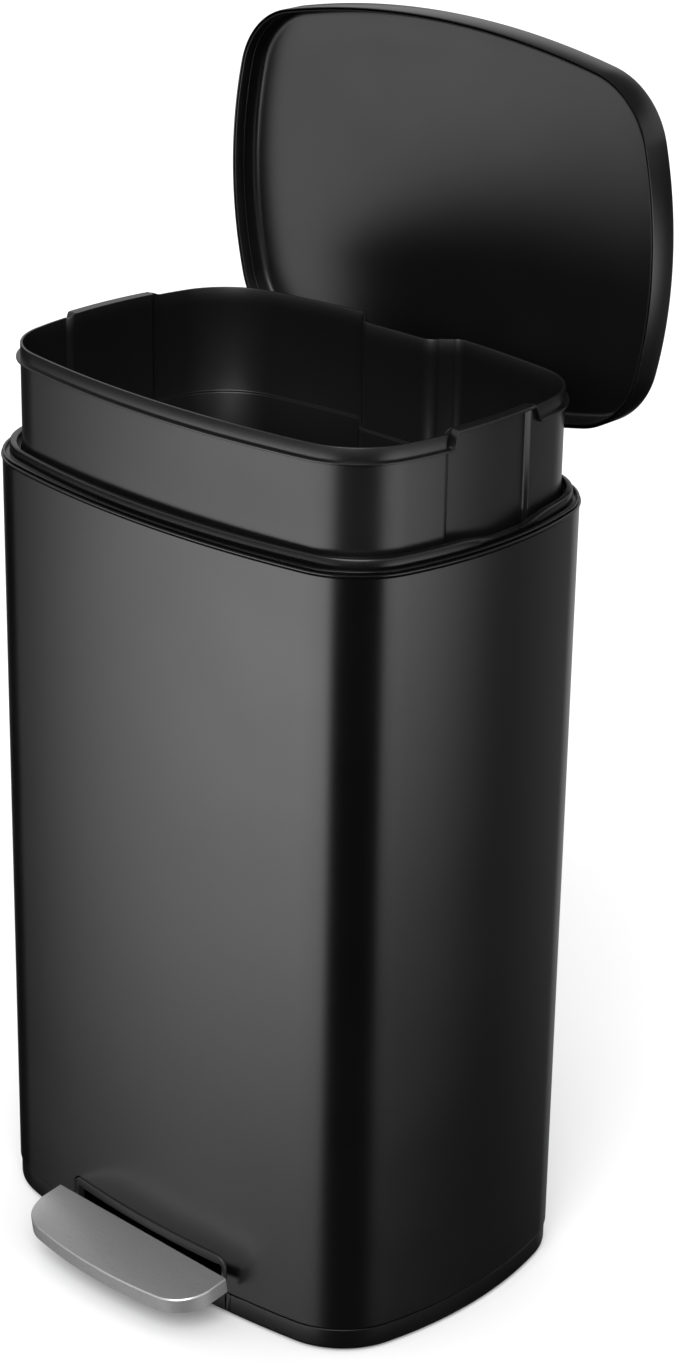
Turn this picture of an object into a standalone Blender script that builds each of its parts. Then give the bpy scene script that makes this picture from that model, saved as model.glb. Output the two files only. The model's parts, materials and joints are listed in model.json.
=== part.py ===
"""Pedal trash can: steel body, soft-close lid, lift-out bucket and pedal linkage.

The can is drawn about its own centre line: the pedal looks along -Y and the lid hinges at the +Y side.
An empty at the can's centre shifts everything so that the origin is the middle of the whole footprint.
The lid is shown fully open, the pedal pressed and the bucket lifted, as the can is when it is emptied.
"""
import math

import bmesh
import bpy
from mathutils import Matrix, Vector

# ---------------------------------------------------------------- driving dimensions (metres)
GAP = 0.0003                # clearance between pieces that touch on the real can
CAN_Y = 0.01005             # shift that centres the whole footprint on the origin

# plan shapes: half width, half depth, corner radius, front bow radius, side bow radius
BODY_PLAN = (0.2000, 0.1400, 0.0630, 0.700, 0.260)
LID_PLAN = (0.1999, 0.1395, 0.0600, 0.633, 0.266)
BUCKET_PLAN = (0.1863, 0.1285, 0.0580, 0.700, 0.280)
BUCKET_Y = 0.0010           # the bucket hangs a little behind the middle

SHELL_WALL = 0.0008
SHELL_BOTTOM = 0.0195
SHELL_TOP = 0.5895
COLLAR_STEP = 0.5915        # the lid's edge comes down on this step
RIDGE_TOP = 0.5980          # ridge round the collar's mouth
COLLAR_LEDGE = 0.5922       # rebate inside the ridge that the bucket's flange hangs on
COLLAR_BOTTOM = 0.5720

SKIRT_TOP = 0.0185
PAN_BOTTOM = 0.0048
PAN_TOP = 0.0078
FOOT_POINTS = ((-0.145, -0.085), (0.145, -0.085), (-0.145, 0.085), (0.145, 0.085))

SLOT_HALF = 0.0790          # opening that the pedal arm comes out of
SLOT_TOP = 0.0462
BEZEL_WALL = 0.0017
APRON_LOW = 0.0409          # lower edge of the apron that hides the inside of the slot

HINGE_Y = 0.1500
HINGE_Z = 0.5970
LID_OPEN = math.radians(89.2)
LID_EDGE = 0.5920           # the closed lid's lower edge
LID_SKIRT = 0.0237
LID_CROWN = 0.0062
NOTCH_HALF = 0.0245         # gap at the back that the hinge ears swing through

CRANK_REACH = 0.0160        # crank pin, forward of the hinge and as far below it when closed
ROD_Y = 0.1310
ROD_TRAVEL = 2 * CRANK_REACH

PIVOT_Y = -0.0800
PIVOT_Z = 0.0300
LEVER_REACH = ROD_Y - PIVOT_Y
LEVER_SWING = 2 * math.atan2(ROD_TRAVEL / 2, LEVER_REACH)
LEVER_HALF = 0.0125
CAP_TILT = math.radians(3.2)
CAP_TOP = 0.0134            # the pedal's top above the lever's own axis
CAP_DEPTH = 0.0122
CAP_WALL = 0.0010
PEDAL_SCREW_X = 0.0400

RIM_Z = 0.6695              # bucket rim with the bucket lifted
BUCKET_HEIGHT = 0.5460
BUCKET_WALL = 0.0020
FLANGE_DROP = 0.0113        # underside of the flange, below the rim
FLANGE_WIDTH = 0.0030
RECESS_OUTER = 0.0480       # half width of the recess that clears the rod channel, at its mouth
RECESS_INNER = 0.0300
RECESS_DEPTH = 0.0180

CHANNEL_HALF = 0.0270
CHANNEL_FRONT = 0.1120
CHANNEL_TOP = 0.5700

CRANK_Z_OPEN = HINGE_Z + CRANK_REACH
FOOT_PIN_Z = PIVOT_Z + ROD_TRAVEL / 2
DAMPER_X = 0.0160
DAMPER_Y = 0.1225
DAMPER_LOW = 0.3000
DAMPER_LENGTH = 0.0900
ARM_Z = 0.4600              # the clamp that ties the damper's plunger to the rod

# screw places
HOUSING_SCREWS = ((-0.034, "left"), (0.034, "right"))
HOUSING_LEVELS = ((0.5450, "lower"), (0.5640, "upper"))
PIVOT_SCREW_X = 0.0640
PIVOT_SCREW_ROWS = ((PIVOT_Y - 0.009, "front"), (PIVOT_Y + 0.009, "rear"))
BRACKET_SCREWS = ((-0.0120, "left"), (0.0120, "right"))
BRACKET_ROWS = ((-0.0315, "front"), (-0.0225, "rear"))


# ---------------------------------------------------------------- materials
def material(name, colour, roughness, metallic=0.0):
    """One plain Principled BSDF finish."""
    finish = bpy.data.materials.new(name)
    finish.use_nodes = True
    shader = finish.node_tree.nodes["Principled BSDF"]
    shader.inputs["Base Color"].default_value = (*colour, 1.0)
    shader.inputs["Roughness"].default_value = roughness
    shader.inputs["Metallic"].default_value = metallic
    finish.diffuse_color = (*colour, 1.0)
    return finish


# ---------------------------------------------------------------- plan outlines
def arc_points(centre, radius, start, end, steps):
    """Points along an arc, the last one left out."""
    turn = (end - start) / steps
    angles = [start + turn * step for step in range(steps)]
    return [(centre[0] + radius * math.cos(a), centre[1] + radius * math.sin(a)) for a in angles]


def core_corner(half_w, half_d, bow_front, bow_side):
    """Where the front bow and the side bow of the inset outline meet, by Newton's method."""
    x = half_w * 0.98
    y = half_d * 0.95
    for _ in range(30):
        front = x * x + (y + bow_front - half_d) ** 2 - bow_front ** 2
        side = (x + bow_side - half_w) ** 2 + y * y - bow_side ** 2
        fx, fy = 2 * x, 2 * (y + bow_front - half_d)
        sx, sy = 2 * (x + bow_side - half_w), 2 * y
        det = fx * sy - fy * sx
        x -= (front * sy - fy * side) / det
        y -= (fx * side - sx * front) / det
    return x, y


def outline(plan, inset=0.0, shift_y=0.0, side_steps=3, corner_steps=6, front_steps=4):
    """A rounded rectangle with bowed sides, counter-clockwise, drawn inset from its full size."""
    half_w, half_d, corner, bow_front, bow_side = plan
    core_w, core_d = half_w - corner, half_d - corner
    x, y = core_corner(core_w, core_d, bow_front, bow_side)
    radius = corner - inset
    side_angle = math.atan2(y, x + bow_side - core_w)
    front_angle = math.atan2(y + bow_front - core_d, x)
    side_centre = (core_w - bow_side, 0.0)
    front_centre = (0.0, core_d - bow_front)
    quarter = arc_points(side_centre, bow_side + radius, 0.0, side_angle, side_steps)
    quarter += arc_points((x, y), radius, side_angle, front_angle, corner_steps)
    quarter += arc_points(front_centre, bow_front + radius, front_angle, math.pi / 2, front_steps)
    top = (0.0, core_d + radius)
    right_half = quarter + [top]
    left_half = [(-px, py) for px, py in reversed(quarter)]
    upper = right_half + left_half
    lower = [(px, -py) for px, py in reversed(upper[1:-1])]
    return [(px, py + shift_y) for px, py in upper + lower]


def offset_outline(points, inset):
    """The outline moved inward by the same distance all round."""
    moved = []
    count = len(points)
    for index in range(count):
        before = Vector(points[index - 1])
        here = Vector(points[index])
        after = Vector(points[(index + 1) % count])
        into = (here - before).normalized()
        out = (after - here).normalized()
        mean = (into + out).normalized()
        normal = Vector((-mean.y, mean.x))
        reach = inset / max(0.5, mean.dot(into))
        moved.append(tuple(here + normal * reach))
    return moved


# ---------------------------------------------------------------- building helpers
PARTS = None
CUTTERS = None


def collect(obj, collection):
    """Move an object into one collection only."""
    for owner in list(obj.users_collection):
        owner.objects.unlink(obj)
    collection.objects.link(obj)


def place(obj, name, finish, parent):
    """Name a finished piece, give it its material and hang it from its empty."""
    obj.name = name
    obj.data.name = name
    obj.data.materials.clear()
    obj.data.materials.append(finish)
    obj.parent = parent
    collect(obj, PARTS)
    return obj


def empty(name, location, parent=None, tilt=0.0):
    """An axis or centre that pieces hang from."""
    axis = bpy.data.objects.new(name, None)
    axis.empty_display_size = 0.02
    axis.location = location
    axis.rotation_euler.x = tilt
    axis.parent = parent
    PARTS.objects.link(axis)
    return axis


def object_from(bm, smooth=None):
    """A new mesh object from a bmesh, with its faces turned outwards."""
    bmesh.ops.recalc_face_normals(bm, faces=bm.faces)
    mesh = bpy.data.meshes.new("piece")
    bm.to_mesh(mesh)
    bm.free()
    obj = bpy.data.objects.new("piece", mesh)
    CUTTERS.objects.link(obj)
    if smooth is not None:
        mesh.shade_smooth()
        mesh.set_sharp_from_angle(angle=math.radians(smooth))
    return obj


def loft(rings, closed, smooth=30):
    """Skin rings of equal length, each a list of (x, y, z); a closed loft joins last to first."""
    bm = bmesh.new()
    loops = [[bm.verts.new(point) for point in ring] for ring in rings]
    pairs = list(zip(loops, loops[1:]))
    if closed:
        pairs.append((loops[-1], loops[0]))
    for lower, upper in pairs:
        for i in range(len(lower)):
            bm.faces.new((lower[i - 1], lower[i], upper[i], upper[i - 1]))
    if not closed:
        for loop in (loops[0], loops[-1]):
            edges = [bm.edges.get((loop[i - 1], loop[i])) for i in range(len(loop))]
            bmesh.ops.triangle_fill(bm, edges=edges, use_beauty=True)
    return object_from(bm, smooth)


def ring_at(points, z):
    """An outline lifted to a height."""
    return [(x, y, z) for x, y in points]


def box(x, y, z):
    """A cube primitive stretched between the given low and high sides."""
    bm = bmesh.new()
    size = Vector((x[1] - x[0], y[1] - y[0], z[1] - z[0]))
    middle = Vector((x[0] + x[1], y[0] + y[1], z[0] + z[1])) / 2
    turn = Matrix.Translation(middle) @ Matrix.Diagonal((*size, 1.0))
    bmesh.ops.create_cube(bm, size=1.0, matrix=turn)
    return object_from(bm)


def rod(centre, axis, radius, length, sides=16, top_radius=None):
    """A cylinder primitive, centred, along X, Y or Z."""
    bm = bmesh.new()
    turns = {
        "X": Matrix.Rotation(math.pi / 2, 4, "Y"),
        "Y": Matrix.Rotation(-math.pi / 2, 4, "X"),
        "Z": Matrix.Identity(4),
    }
    turn = Matrix.Translation(centre) @ turns[axis]
    far_radius = radius if top_radius is None else top_radius
    bmesh.ops.create_cone(
        bm, cap_ends=True, segments=sides, radius1=radius, radius2=far_radius, depth=length, matrix=turn
    )
    return object_from(bm, 40)


def plate(points, x_low, x_high):
    """A flat sideways plate: a 2D curve of (y, z) points, filled and extruded along X."""
    curve = bpy.data.curves.new("plate", "CURVE")
    curve.dimensions = "2D"
    curve.fill_mode = "BOTH"
    curve.extrude = (x_high - x_low) / 2
    spline = curve.splines.new("POLY")
    spline.points.add(len(points) - 1)
    for point, (y, z) in zip(spline.points, points):
        point.co = (y, z, 0.0, 1.0)
    spline.use_cyclic_u = True
    flat = bpy.data.objects.new("plate", curve)
    CUTTERS.objects.link(flat)
    # the curve's own X and Y become world Y and Z
    turn = Matrix(((0, 0, 1, (x_low + x_high) / 2), (1, 0, 0, 0), (0, 1, 0, 0), (0, 0, 0, 1)))
    flat.matrix_world = turn
    return curve_to_mesh(flat)


def curve_to_mesh(curve_object):
    """The evaluated curve as a closed mesh object in the same place."""
    bpy.context.view_layer.update()
    evaluated = curve_object.evaluated_get(bpy.context.evaluated_depsgraph_get())
    mesh = bpy.data.meshes.new_from_object(evaluated)
    mesh.transform(curve_object.matrix_world)
    bm = bmesh.new()
    bm.from_mesh(mesh)
    bmesh.ops.remove_doubles(bm, verts=bm.verts, dist=1e-6)
    bpy.data.meshes.remove(mesh)
    bpy.data.objects.remove(curve_object)
    return object_from(bm, 40)


def hull_plate(circles, x_low, x_high, steps=14):
    """A plate whose edge wraps a few circles given as (y, z, radius), like a stamped ear."""
    bm = bmesh.new()
    for y, z, radius in circles:
        for px, pz in arc_points((y, z), radius, 0.0, 2 * math.pi, steps):
            bm.verts.new((x_low, px, pz))
            bm.verts.new((x_high, px, pz))
    bmesh.ops.convex_hull(bm, input=bm.verts)
    loose = [vert for vert in bm.verts if not vert.link_faces]
    bmesh.ops.delete(bm, geom=loose, context="VERTS")
    return object_from(bm, 40)


def combine(obj, others, operation):
    """Boolean the others into the object and keep the result as its plain mesh."""
    for other in others:
        step = obj.modifiers.new("step", "BOOLEAN")
        step.operation = operation
        step.solver = "EXACT"
        step.object = other
        bpy.context.view_layer.update()
        evaluated = obj.evaluated_get(bpy.context.evaluated_depsgraph_get())
        mesh = bpy.data.meshes.new_from_object(evaluated)
        obj.modifiers.clear()
        obj.data = mesh
        bpy.data.objects.remove(other)
    obj.data.shade_smooth()
    obj.data.set_sharp_from_angle(angle=math.radians(30))
    return obj


def cut(obj, *others):
    """Take the other shapes away from the object."""
    return combine(obj, others, "DIFFERENCE")


def join(obj, *others):
    """Weld the other shapes to the object."""
    return combine(obj, others, "UNION")


def screw(name, head, axis_sign, axis, finish, parent, length=0.0070, head_radius=0.0035):
    """A pan-head screw; the head sits at the given point and the shank runs along the axis."""
    direction = {"X": Vector((1, 0, 0)), "Y": Vector((0, 1, 0)), "Z": Vector((0, 0, 1))}[axis]
    direction = direction * axis_sign
    head_height = 0.0022
    cap = rod(Vector(head) - direction * head_height / 2, axis, head_radius, head_height, 10)
    shank = rod(Vector(head) + direction * (length / 2 - 0.0005), axis, 0.0015, length + 0.0010, 8)
    slot = box((-0.0004, 0.0004), (-0.0022, 0.0022), (-0.0006, 0.0006))
    if axis == "Y":
        slot.data.transform(Matrix.Rotation(math.pi / 2, 4, "X"))
    slot.data.transform(Matrix.Translation(Vector(head) - direction * head_height))
    join(cap, shank)
    cut(cap, slot)
    return place(cap, name, finish, parent)


# ---------------------------------------------------------------- body shell and trims
def slot_arch(half, top, corner, depth_y):
    """The pedal slot's arched outline as a solid bar along Y, its foot open below the shell."""
    low = 0.0100
    points = [(half, low)]
    points += arc_points((half - corner, top - corner), corner, 0.0, math.pi / 2, 4)
    points += arc_points((-half + corner, top - corner), corner, math.pi / 2, math.pi, 4)
    points += [(-half, top - corner), (-half, low)]
    near = [(x, depth_y[0], z) for x, z in points]
    far = [(x, depth_y[1], z) for x, z in points]
    return loft([near, far], closed=False)


def build_outer_shell(finish, can):
    """Wrapped sheet-steel sleeve with the pedal slot in front and the hinge notch behind."""
    rings = [
        ring_at(outline(BODY_PLAN), SHELL_BOTTOM),
        ring_at(outline(BODY_PLAN), SHELL_TOP),
        ring_at(outline(BODY_PLAN, SHELL_WALL), SHELL_TOP),
        ring_at(outline(BODY_PLAN, SHELL_WALL), SHELL_BOTTOM),
    ]
    shell = loft(rings, closed=True)
    outer_half = SLOT_HALF + BEZEL_WALL + GAP
    cut(shell, slot_arch(outer_half, SLOT_TOP + BEZEL_WALL + GAP, 0.0080, (-0.160, -0.100)))
    cut(shell, box((-NOTCH_HALF, NOTCH_HALF), (0.12, 0.16), (0.5730, 0.60)))
    for x, _ in HOUSING_SCREWS:
        for z, _ in HOUSING_LEVELS:
            cut(shell, rod((x, 0.139, z), "Y", 0.0019, 0.02, 10))
    return place(shell, "outer_shell", finish, can)


def build_top_collar(finish, can):
    """Moulded ring on the shell's top edge; its ridge carries the bucket's flange."""
    def body(inset, z):
        return ring_at(outline(BODY_PLAN, inset), z)

    def mouth(clearance, z):
        return ring_at(outline(BUCKET_PLAN, -clearance, BUCKET_Y), z)

    def ridge(inset, z):
        return ring_at(outline(LID_PLAN, inset), z)

    rings = [
        mouth(0.0012, 0.5820), mouth(0.0012, COLLAR_LEDGE), mouth(0.0033, COLLAR_LEDGE),
        mouth(0.0033, RIDGE_TOP - 0.0010), mouth(0.0036, RIDGE_TOP),
        ridge(0.0053, RIDGE_TOP), ridge(0.0047, RIDGE_TOP - 0.0010), ridge(0.0047, COLLAR_STEP),
        body(0.0005, COLLAR_STEP), body(0.0002, COLLAR_STEP - 0.0004), body(0.0002, SHELL_TOP + GAP),
        body(0.0013, SHELL_TOP + GAP), body(0.0013, COLLAR_BOTTOM), body(0.0030, COLLAR_BOTTOM),
        body(0.0030, 0.5885), mouth(0.0028, 0.5885), mouth(0.0028, 0.5820),
    ]
    collar = loft(rings, closed=True)
    scoop_radius = 0.25
    scoop_low = 0.5930
    cut(collar, rod((0.0, 0.012, scoop_low + scoop_radius), "X", scoop_radius, 0.50, 96))
    cut(collar, box((-NOTCH_HALF, NOTCH_HALF), (0.118, 0.16), (0.56, 0.61)))
    return place(collar, "top_collar", finish, can)


def build_base_skirt(finish, can):
    """Moulded base ring: a visible plinth below the shell and an upstand inside it."""
    def body(inset, z):
        return ring_at(outline(BODY_PLAN, inset), z)

    rings = [
        body(0.0010, SKIRT_TOP), body(0.0010, 0.0040), body(0.0030, 0.0015), body(0.0120, 0.0015),
        body(0.0120, PAN_BOTTOM - GAP), body(0.0032, PAN_BOTTOM - GAP), body(0.0032, 0.0320),
        body(0.0013, 0.0320), body(0.0013, SKIRT_TOP),
    ]
    skirt = loft(rings, closed=True)
    cut(skirt, box((-SLOT_HALF - 0.006, SLOT_HALF + 0.006), (-0.16, -0.10), (SKIRT_TOP - 0.0005, 0.05)))
    return place(skirt, "base_skirt", finish, can)


def build_base_pan(finish, can):
    """Flat floor of the can, resting on the base skirt's ledge."""
    rings = [
        ring_at(outline(BODY_PLAN, 0.0036), PAN_BOTTOM),
        ring_at(outline(BODY_PLAN, 0.0036), PAN_TOP),
    ]
    pan = loft(rings, closed=False)
    for x, y in FOOT_POINTS:
        cut(pan, rod((x, y, 0.0063), "Z", 0.0033, 0.01, 12))
    for x in (-PIVOT_SCREW_X, PIVOT_SCREW_X):
        for y, _ in PIVOT_SCREW_ROWS:
            cut(pan, rod((x, y, 0.0063), "Z", 0.0019, 0.01, 10))
    return place(pan, "base_pan", finish, can)


def build_foot(name, x, y, finish, can):
    """Rubber foot with a nub pressed up into the floor pan, turned from its profile."""
    profile = [(0.0030, 0.0072), (0.0030, PAN_BOTTOM - GAP), (0.0110, PAN_BOTTOM - GAP), (0.0110, 0.0010)]
    profile += [(0.0100, 0.0)]
    bm = bmesh.new()
    ends = [bm.verts.new((0.0, 0.0, profile[0][1]))]
    ends += [bm.verts.new((radius, 0.0, z)) for radius, z in profile]
    ends += [bm.verts.new((0.0, 0.0, 0.0))]
    for before, after in zip(ends, ends[1:]):
        bm.edges.new((before, after))
    mesh = bpy.data.meshes.new(name)
    bm.to_mesh(mesh)
    bm.free()
    foot = bpy.data.objects.new(name, mesh)
    turn = foot.modifiers.new("turned", "SCREW")
    turn.steps = 16
    turn.render_steps = 16
    turn.use_merge_vertices = True
    turn.merge_threshold = 0.00005
    CUTTERS.objects.link(foot)
    foot.location = (x, y, 0.0)
    return place(foot, name, finish, can)


def build_slot_bezel(finish, can):
    """Moulded frame that lines the pedal slot and stands 1 mm proud of the steel."""
    rings = [
        ring_at(outline(BODY_PLAN, -0.0010), SKIRT_TOP + 0.0008),
        ring_at(outline(BODY_PLAN, -0.0010), 0.0600),
        ring_at(outline(BODY_PLAN, 0.0060), 0.0600),
        ring_at(outline(BODY_PLAN, 0.0060), SKIRT_TOP + 0.0008),
    ]
    bezel = loft(rings, closed=True)
    arch = slot_arch(SLOT_HALF + BEZEL_WALL, SLOT_TOP + BEZEL_WALL, 0.0078, (-0.160, -0.100))
    combine(bezel, [arch], "INTERSECT")
    cut(bezel, slot_arch(SLOT_HALF, SLOT_TOP, 0.0062, (-0.170, -0.090)))
    # an apron hangs across the top of the slot, behind the frame's lip and above the pedal's arm
    rings = [
        ring_at(outline(BODY_PLAN, 0.0014), APRON_LOW), ring_at(outline(BODY_PLAN, 0.0014), 0.0600),
        ring_at(outline(BODY_PLAN, 0.0028), 0.0600), ring_at(outline(BODY_PLAN, 0.0028), APRON_LOW),
    ]
    apron = loft(rings, closed=True)
    combine(apron, [slot_arch(SLOT_HALF + 0.0008, SLOT_TOP + 0.0008, 0.0070, (-0.160, -0.100))], "INTERSECT")
    join(bezel, apron)
    return place(bezel, "slot_bezel", finish, can)


# ---------------------------------------------------------------- pedal and its lever
def pedal_outline(inset=0.0):
    """The pedal's D shape seen from above: straight back, bowed front with round corners."""
    half_w, back, front = 0.0890, -0.0628, -0.1128
    corner = 0.0300
    bow = 0.3800
    radius = corner - inset
    core_w = half_w - corner
    front_centre_y = front + corner + bow
    corner_y = front_centre_y - math.sqrt(bow ** 2 - core_w ** 2)
    bow_angle = math.asin(core_w / bow)
    start = -math.pi / 2 - bow_angle
    end = -math.pi / 2 + bow_angle
    points = [(-half_w + inset, back)]
    points += arc_points((-core_w, corner_y), radius, -math.pi, start, 7)
    points += arc_points((0.0, front_centre_y), bow + radius, start, end, 8)
    points += arc_points((core_w, corner_y), radius, end, 0.0, 7)
    points += [(core_w + radius, corner_y), (half_w - inset, back)]
    return points


def tilted(obj):
    """Give the pedal's pieces their small tilt on the lever."""
    pivot = Vector((0.0, -0.060, 0.0134))
    turn = Matrix.Translation(pivot) @ Matrix.Rotation(CAP_TILT, 4, "X") @ Matrix.Translation(-pivot)
    obj.data.transform(turn)
    return obj


def build_pedal_cap(finish, axis):
    """Pressed stainless cap: a D-shaped tray turned upside down and open towards the can."""
    rings = [
        ring_at(pedal_outline(), CAP_TOP - CAP_DEPTH),
        ring_at(pedal_outline(), CAP_TOP - 0.0012),
        ring_at(pedal_outline(0.0012), CAP_TOP),
    ]
    cap = loft(rings, closed=False)
    inner = [(x, y + (0.01 if y > -0.063 else 0.0)) for x, y in pedal_outline(CAP_WALL)]
    hollow = loft([ring_at(inner, CAP_TOP - 0.02), ring_at(inner, CAP_TOP - CAP_WALL)], closed=False)
    cut(cap, hollow)
    return place(tilted(cap), "pedal_cap", finish, axis)


def build_pedal_core(finish, axis):
    """Ribbed plastic filler that the stainless cap snaps over."""
    body = CAP_WALL + GAP
    points = pedal_outline(body)
    core = loft([ring_at(points, 0.0056), ring_at(points, CAP_TOP - body)], closed=False)
    tilted(core)
    for x in (-PEDAL_SCREW_X, PEDAL_SCREW_X):
        cut(core, rod((x, -0.083, 0.0040), "Z", 0.0019, 0.006, 10))
    return place(core, "pedal_core", finish, axis)


def build_pedal_lever(finish, axis):
    """Welded steel lever: pedal plate, pivot sleeve and two side bars that reach the push rod."""
    bar_points = (
        (-0.1000, 0.0006), (-0.060, -0.0050), (LEVER_REACH + 0.005, -0.0050),
        (LEVER_REACH + 0.005, 0.0050), (-0.050, 0.0050), (-0.060, 0.0030), (-0.1000, 0.0030),
    )
    left = plate(bar_points, -LEVER_HALF, -LEVER_HALF + 0.003)
    right = plate(bar_points, LEVER_HALF - 0.003, LEVER_HALF)
    foot_plate = box((-0.0560, 0.0560), (-0.1010, -0.058), (0.0005, 0.0029))
    neck = box((-0.0400, 0.0400), (-0.0585, 0.0015), (0.0006, 0.0028))
    web = box((-LEVER_HALF + 0.001, LEVER_HALF - 0.001), (0.0, 0.180), (-0.0012, 0.0008))
    sleeve = rod((0.0, 0.0, 0.0), "X", 0.0058, 0.1040, 18)
    lever = join(left, right, foot_plate, neck, web, sleeve)
    cut(lever, rod((0.0, 0.0, 0.0), "X", 0.0033, 0.12, 16))
    cut(lever, rod((0.0, LEVER_REACH, 0.0), "X", 0.0023, 0.04, 12))
    for x in (-PEDAL_SCREW_X, PEDAL_SCREW_X):
        cut(lever, rod((x, -0.083, 0.002), "Z", 0.0019, 0.008, 10))
    return place(lever, "pedal_lever", finish, axis)


def build_pedal_screws(finish, axis):
    """Two screws that hold the pedal's core down on the lever, from below."""
    for name, x in (("pedal_screw_left", -PEDAL_SCREW_X), ("pedal_screw_right", PEDAL_SCREW_X)):
        screw(name, (x, -0.083, 0.0005 - GAP), 1, "Z", finish, axis, length=0.0052, head_radius=0.0032)


def build_lever_end_pin(finish, axis):
    """Cross pin that lifts the push rod's foot."""
    pin = rod((0.0, LEVER_REACH, 0.0), "X", 0.0020, 0.0270, 14)
    head = rod((0.0134, LEVER_REACH, 0.0), "X", 0.0034, 0.0012, 14)
    return place(join(pin, head), "lever_end_pin", finish, axis)


def build_pivot(finish_steel, finish_bracket, can):
    """Two angle brackets on the floor pan, their screws, and the pin that the lever turns on."""
    for side, word in ((-1, "left"), (1, "right")):
        inner, outer = 0.0524, 0.0550
        ear = hull_plate(
            [(PIVOT_Y, PIVOT_Z, 0.0072), (PIVOT_Y - 0.010, 0.0125, 0.004), (PIVOT_Y + 0.010, 0.0125, 0.004)],
            inner, outer,
        )
        flange = box((inner, 0.0720), (PIVOT_Y - 0.014, PIVOT_Y + 0.014), (PAN_TOP + GAP, PAN_TOP + 0.0023))
        bracket = join(ear, flange)
        cut(bracket, rod((0.054, PIVOT_Y, PIVOT_Z), "X", 0.0033, 0.02, 16))
        for y, _ in PIVOT_SCREW_ROWS:
            cut(bracket, rod((PIVOT_SCREW_X, y, 0.009), "Z", 0.0019, 0.01, 10))
        if side < 0:
            bracket.data.transform(Matrix.Scale(-1, 4, (1, 0, 0)))
            bracket.data.flip_normals()
        place(bracket, f"pivot_bracket_{word}", finish_bracket, can)
        for y, end in PIVOT_SCREW_ROWS:
            head = (side * PIVOT_SCREW_X, y, PAN_TOP + 0.0023 + GAP)
            screw(f"pivot_screw_{word}_{end}", head, -1, "Z", finish_steel, can, length=0.0046)
    pin = rod((0.0, PIVOT_Y, PIVOT_Z), "X", 0.0030, 0.1130, 16)
    for x in (-0.0562, 0.0562):
        pin = join(pin, rod((x, PIVOT_Y, PIVOT_Z), "X", 0.0048, 0.0014, 16))
    place(pin, "pedal_pivot_pin", finish_steel, can)


# ---------------------------------------------------------------- push rod, channel and damper
def build_rod_channel(finish, can):
    """Moulded hat-section channel that keeps the bucket off the push rod."""
    front = box((-CHANNEL_HALF, CHANNEL_HALF), (CHANNEL_FRONT, CHANNEL_FRONT + 0.0015), (PAN_TOP + GAP, CHANNEL_TOP))
    sides = []
    for sign in (-1, 1):
        x = sorted((sign * CHANNEL_HALF, sign * (CHANNEL_HALF - 0.0015)))
        sides.append(box(x, (CHANNEL_FRONT + 0.0005, 0.1376), (PAN_TOP + GAP, CHANNEL_TOP)))
        x = sorted((sign * (CHANNEL_HALF - 0.0010), sign * 0.0400))
        sides.append(box(x, (0.1358, 0.1376), (0.0360, 0.5400)))
    seat = box((0.0080, 0.0260), (CHANNEL_FRONT + 0.0008, 0.1280), (0.2940, DAMPER_LOW - GAP))
    channel = join(front, *sides, seat)
    cut(channel, box((-0.0200, 0.0200), (0.10, CHANNEL_FRONT + 0.0040), (0.0, 0.0620)))
    cut(channel, box((-0.0500, 0.0500), (0.1352, 0.1400), (0.0, 0.0325)))
    return place(channel, "rod_channel", finish, can)


def build_rod_guide(name, z, finish, can):
    """Nylon block that keeps the push rod upright in its channel."""
    x_half = CHANNEL_HALF - 0.0015 - GAP
    guide = box((-x_half, x_half), (0.1250, 0.1376), (z - 0.005, z + 0.005))
    cut(guide, rod((0.0, ROD_Y, z), "Z", 0.0028, 0.02, 16))
    if z < DAMPER_LOW:
        return place(guide, name, finish, can)
    cut(guide, box((0.0090, 0.0300), (0.12, 0.1305), (z - 0.01, z + 0.01)))
    return place(guide, name, finish, can)


def build_push_rod(finish, can):
    """Round steel rod: a curve with a bevel, from its foot block up to its yoke."""
    low = FOOT_PIN_Z + 0.0120
    high = CRANK_Z_OPEN - 0.0130
    curve = bpy.data.curves.new("push_rod", "CURVE")
    curve.dimensions = "3D"
    curve.bevel_depth = 0.0025
    curve.bevel_resolution = 3
    curve.use_fill_caps = True
    spline = curve.splines.new("POLY")
    spline.points.add(1)
    spline.points[0].co = (0.0, ROD_Y, low, 1.0)
    spline.points[1].co = (0.0, ROD_Y, high, 1.0)
    bar = bpy.data.objects.new("push_rod", curve)
    CUTTERS.objects.link(bar)
    return place(curve_to_mesh(bar), "push_rod", finish, can)


def build_rod_yoke(finish, can):
    """Moulded head of the rod: a level slot takes the crank pin's sideways travel."""
    mid_y = HINGE_Y - CRANK_REACH - 0.0033
    head = box((-0.0050, 0.0050), (mid_y - 0.0092, mid_y + 0.0082), (CRANK_Z_OPEN - 0.0070, CRANK_Z_OPEN + 0.0070))
    stem = box((-0.0050, 0.0050), (ROD_Y - 0.0050, ROD_Y + 0.0050), (CRANK_Z_OPEN - 0.0230, CRANK_Z_OPEN - 0.0068))
    yoke = join(head, stem)
    window = box((-0.01, 0.01), (mid_y - 0.0068, mid_y + 0.0068), (CRANK_Z_OPEN - 0.0034, CRANK_Z_OPEN + 0.0034))
    cut(yoke, window)
    cut(yoke, rod((0.0, ROD_Y, CRANK_Z_OPEN - 0.0210), "Z", 0.0028, 0.0170, 16))
    return place(yoke, "rod_yoke", finish, can)


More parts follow.
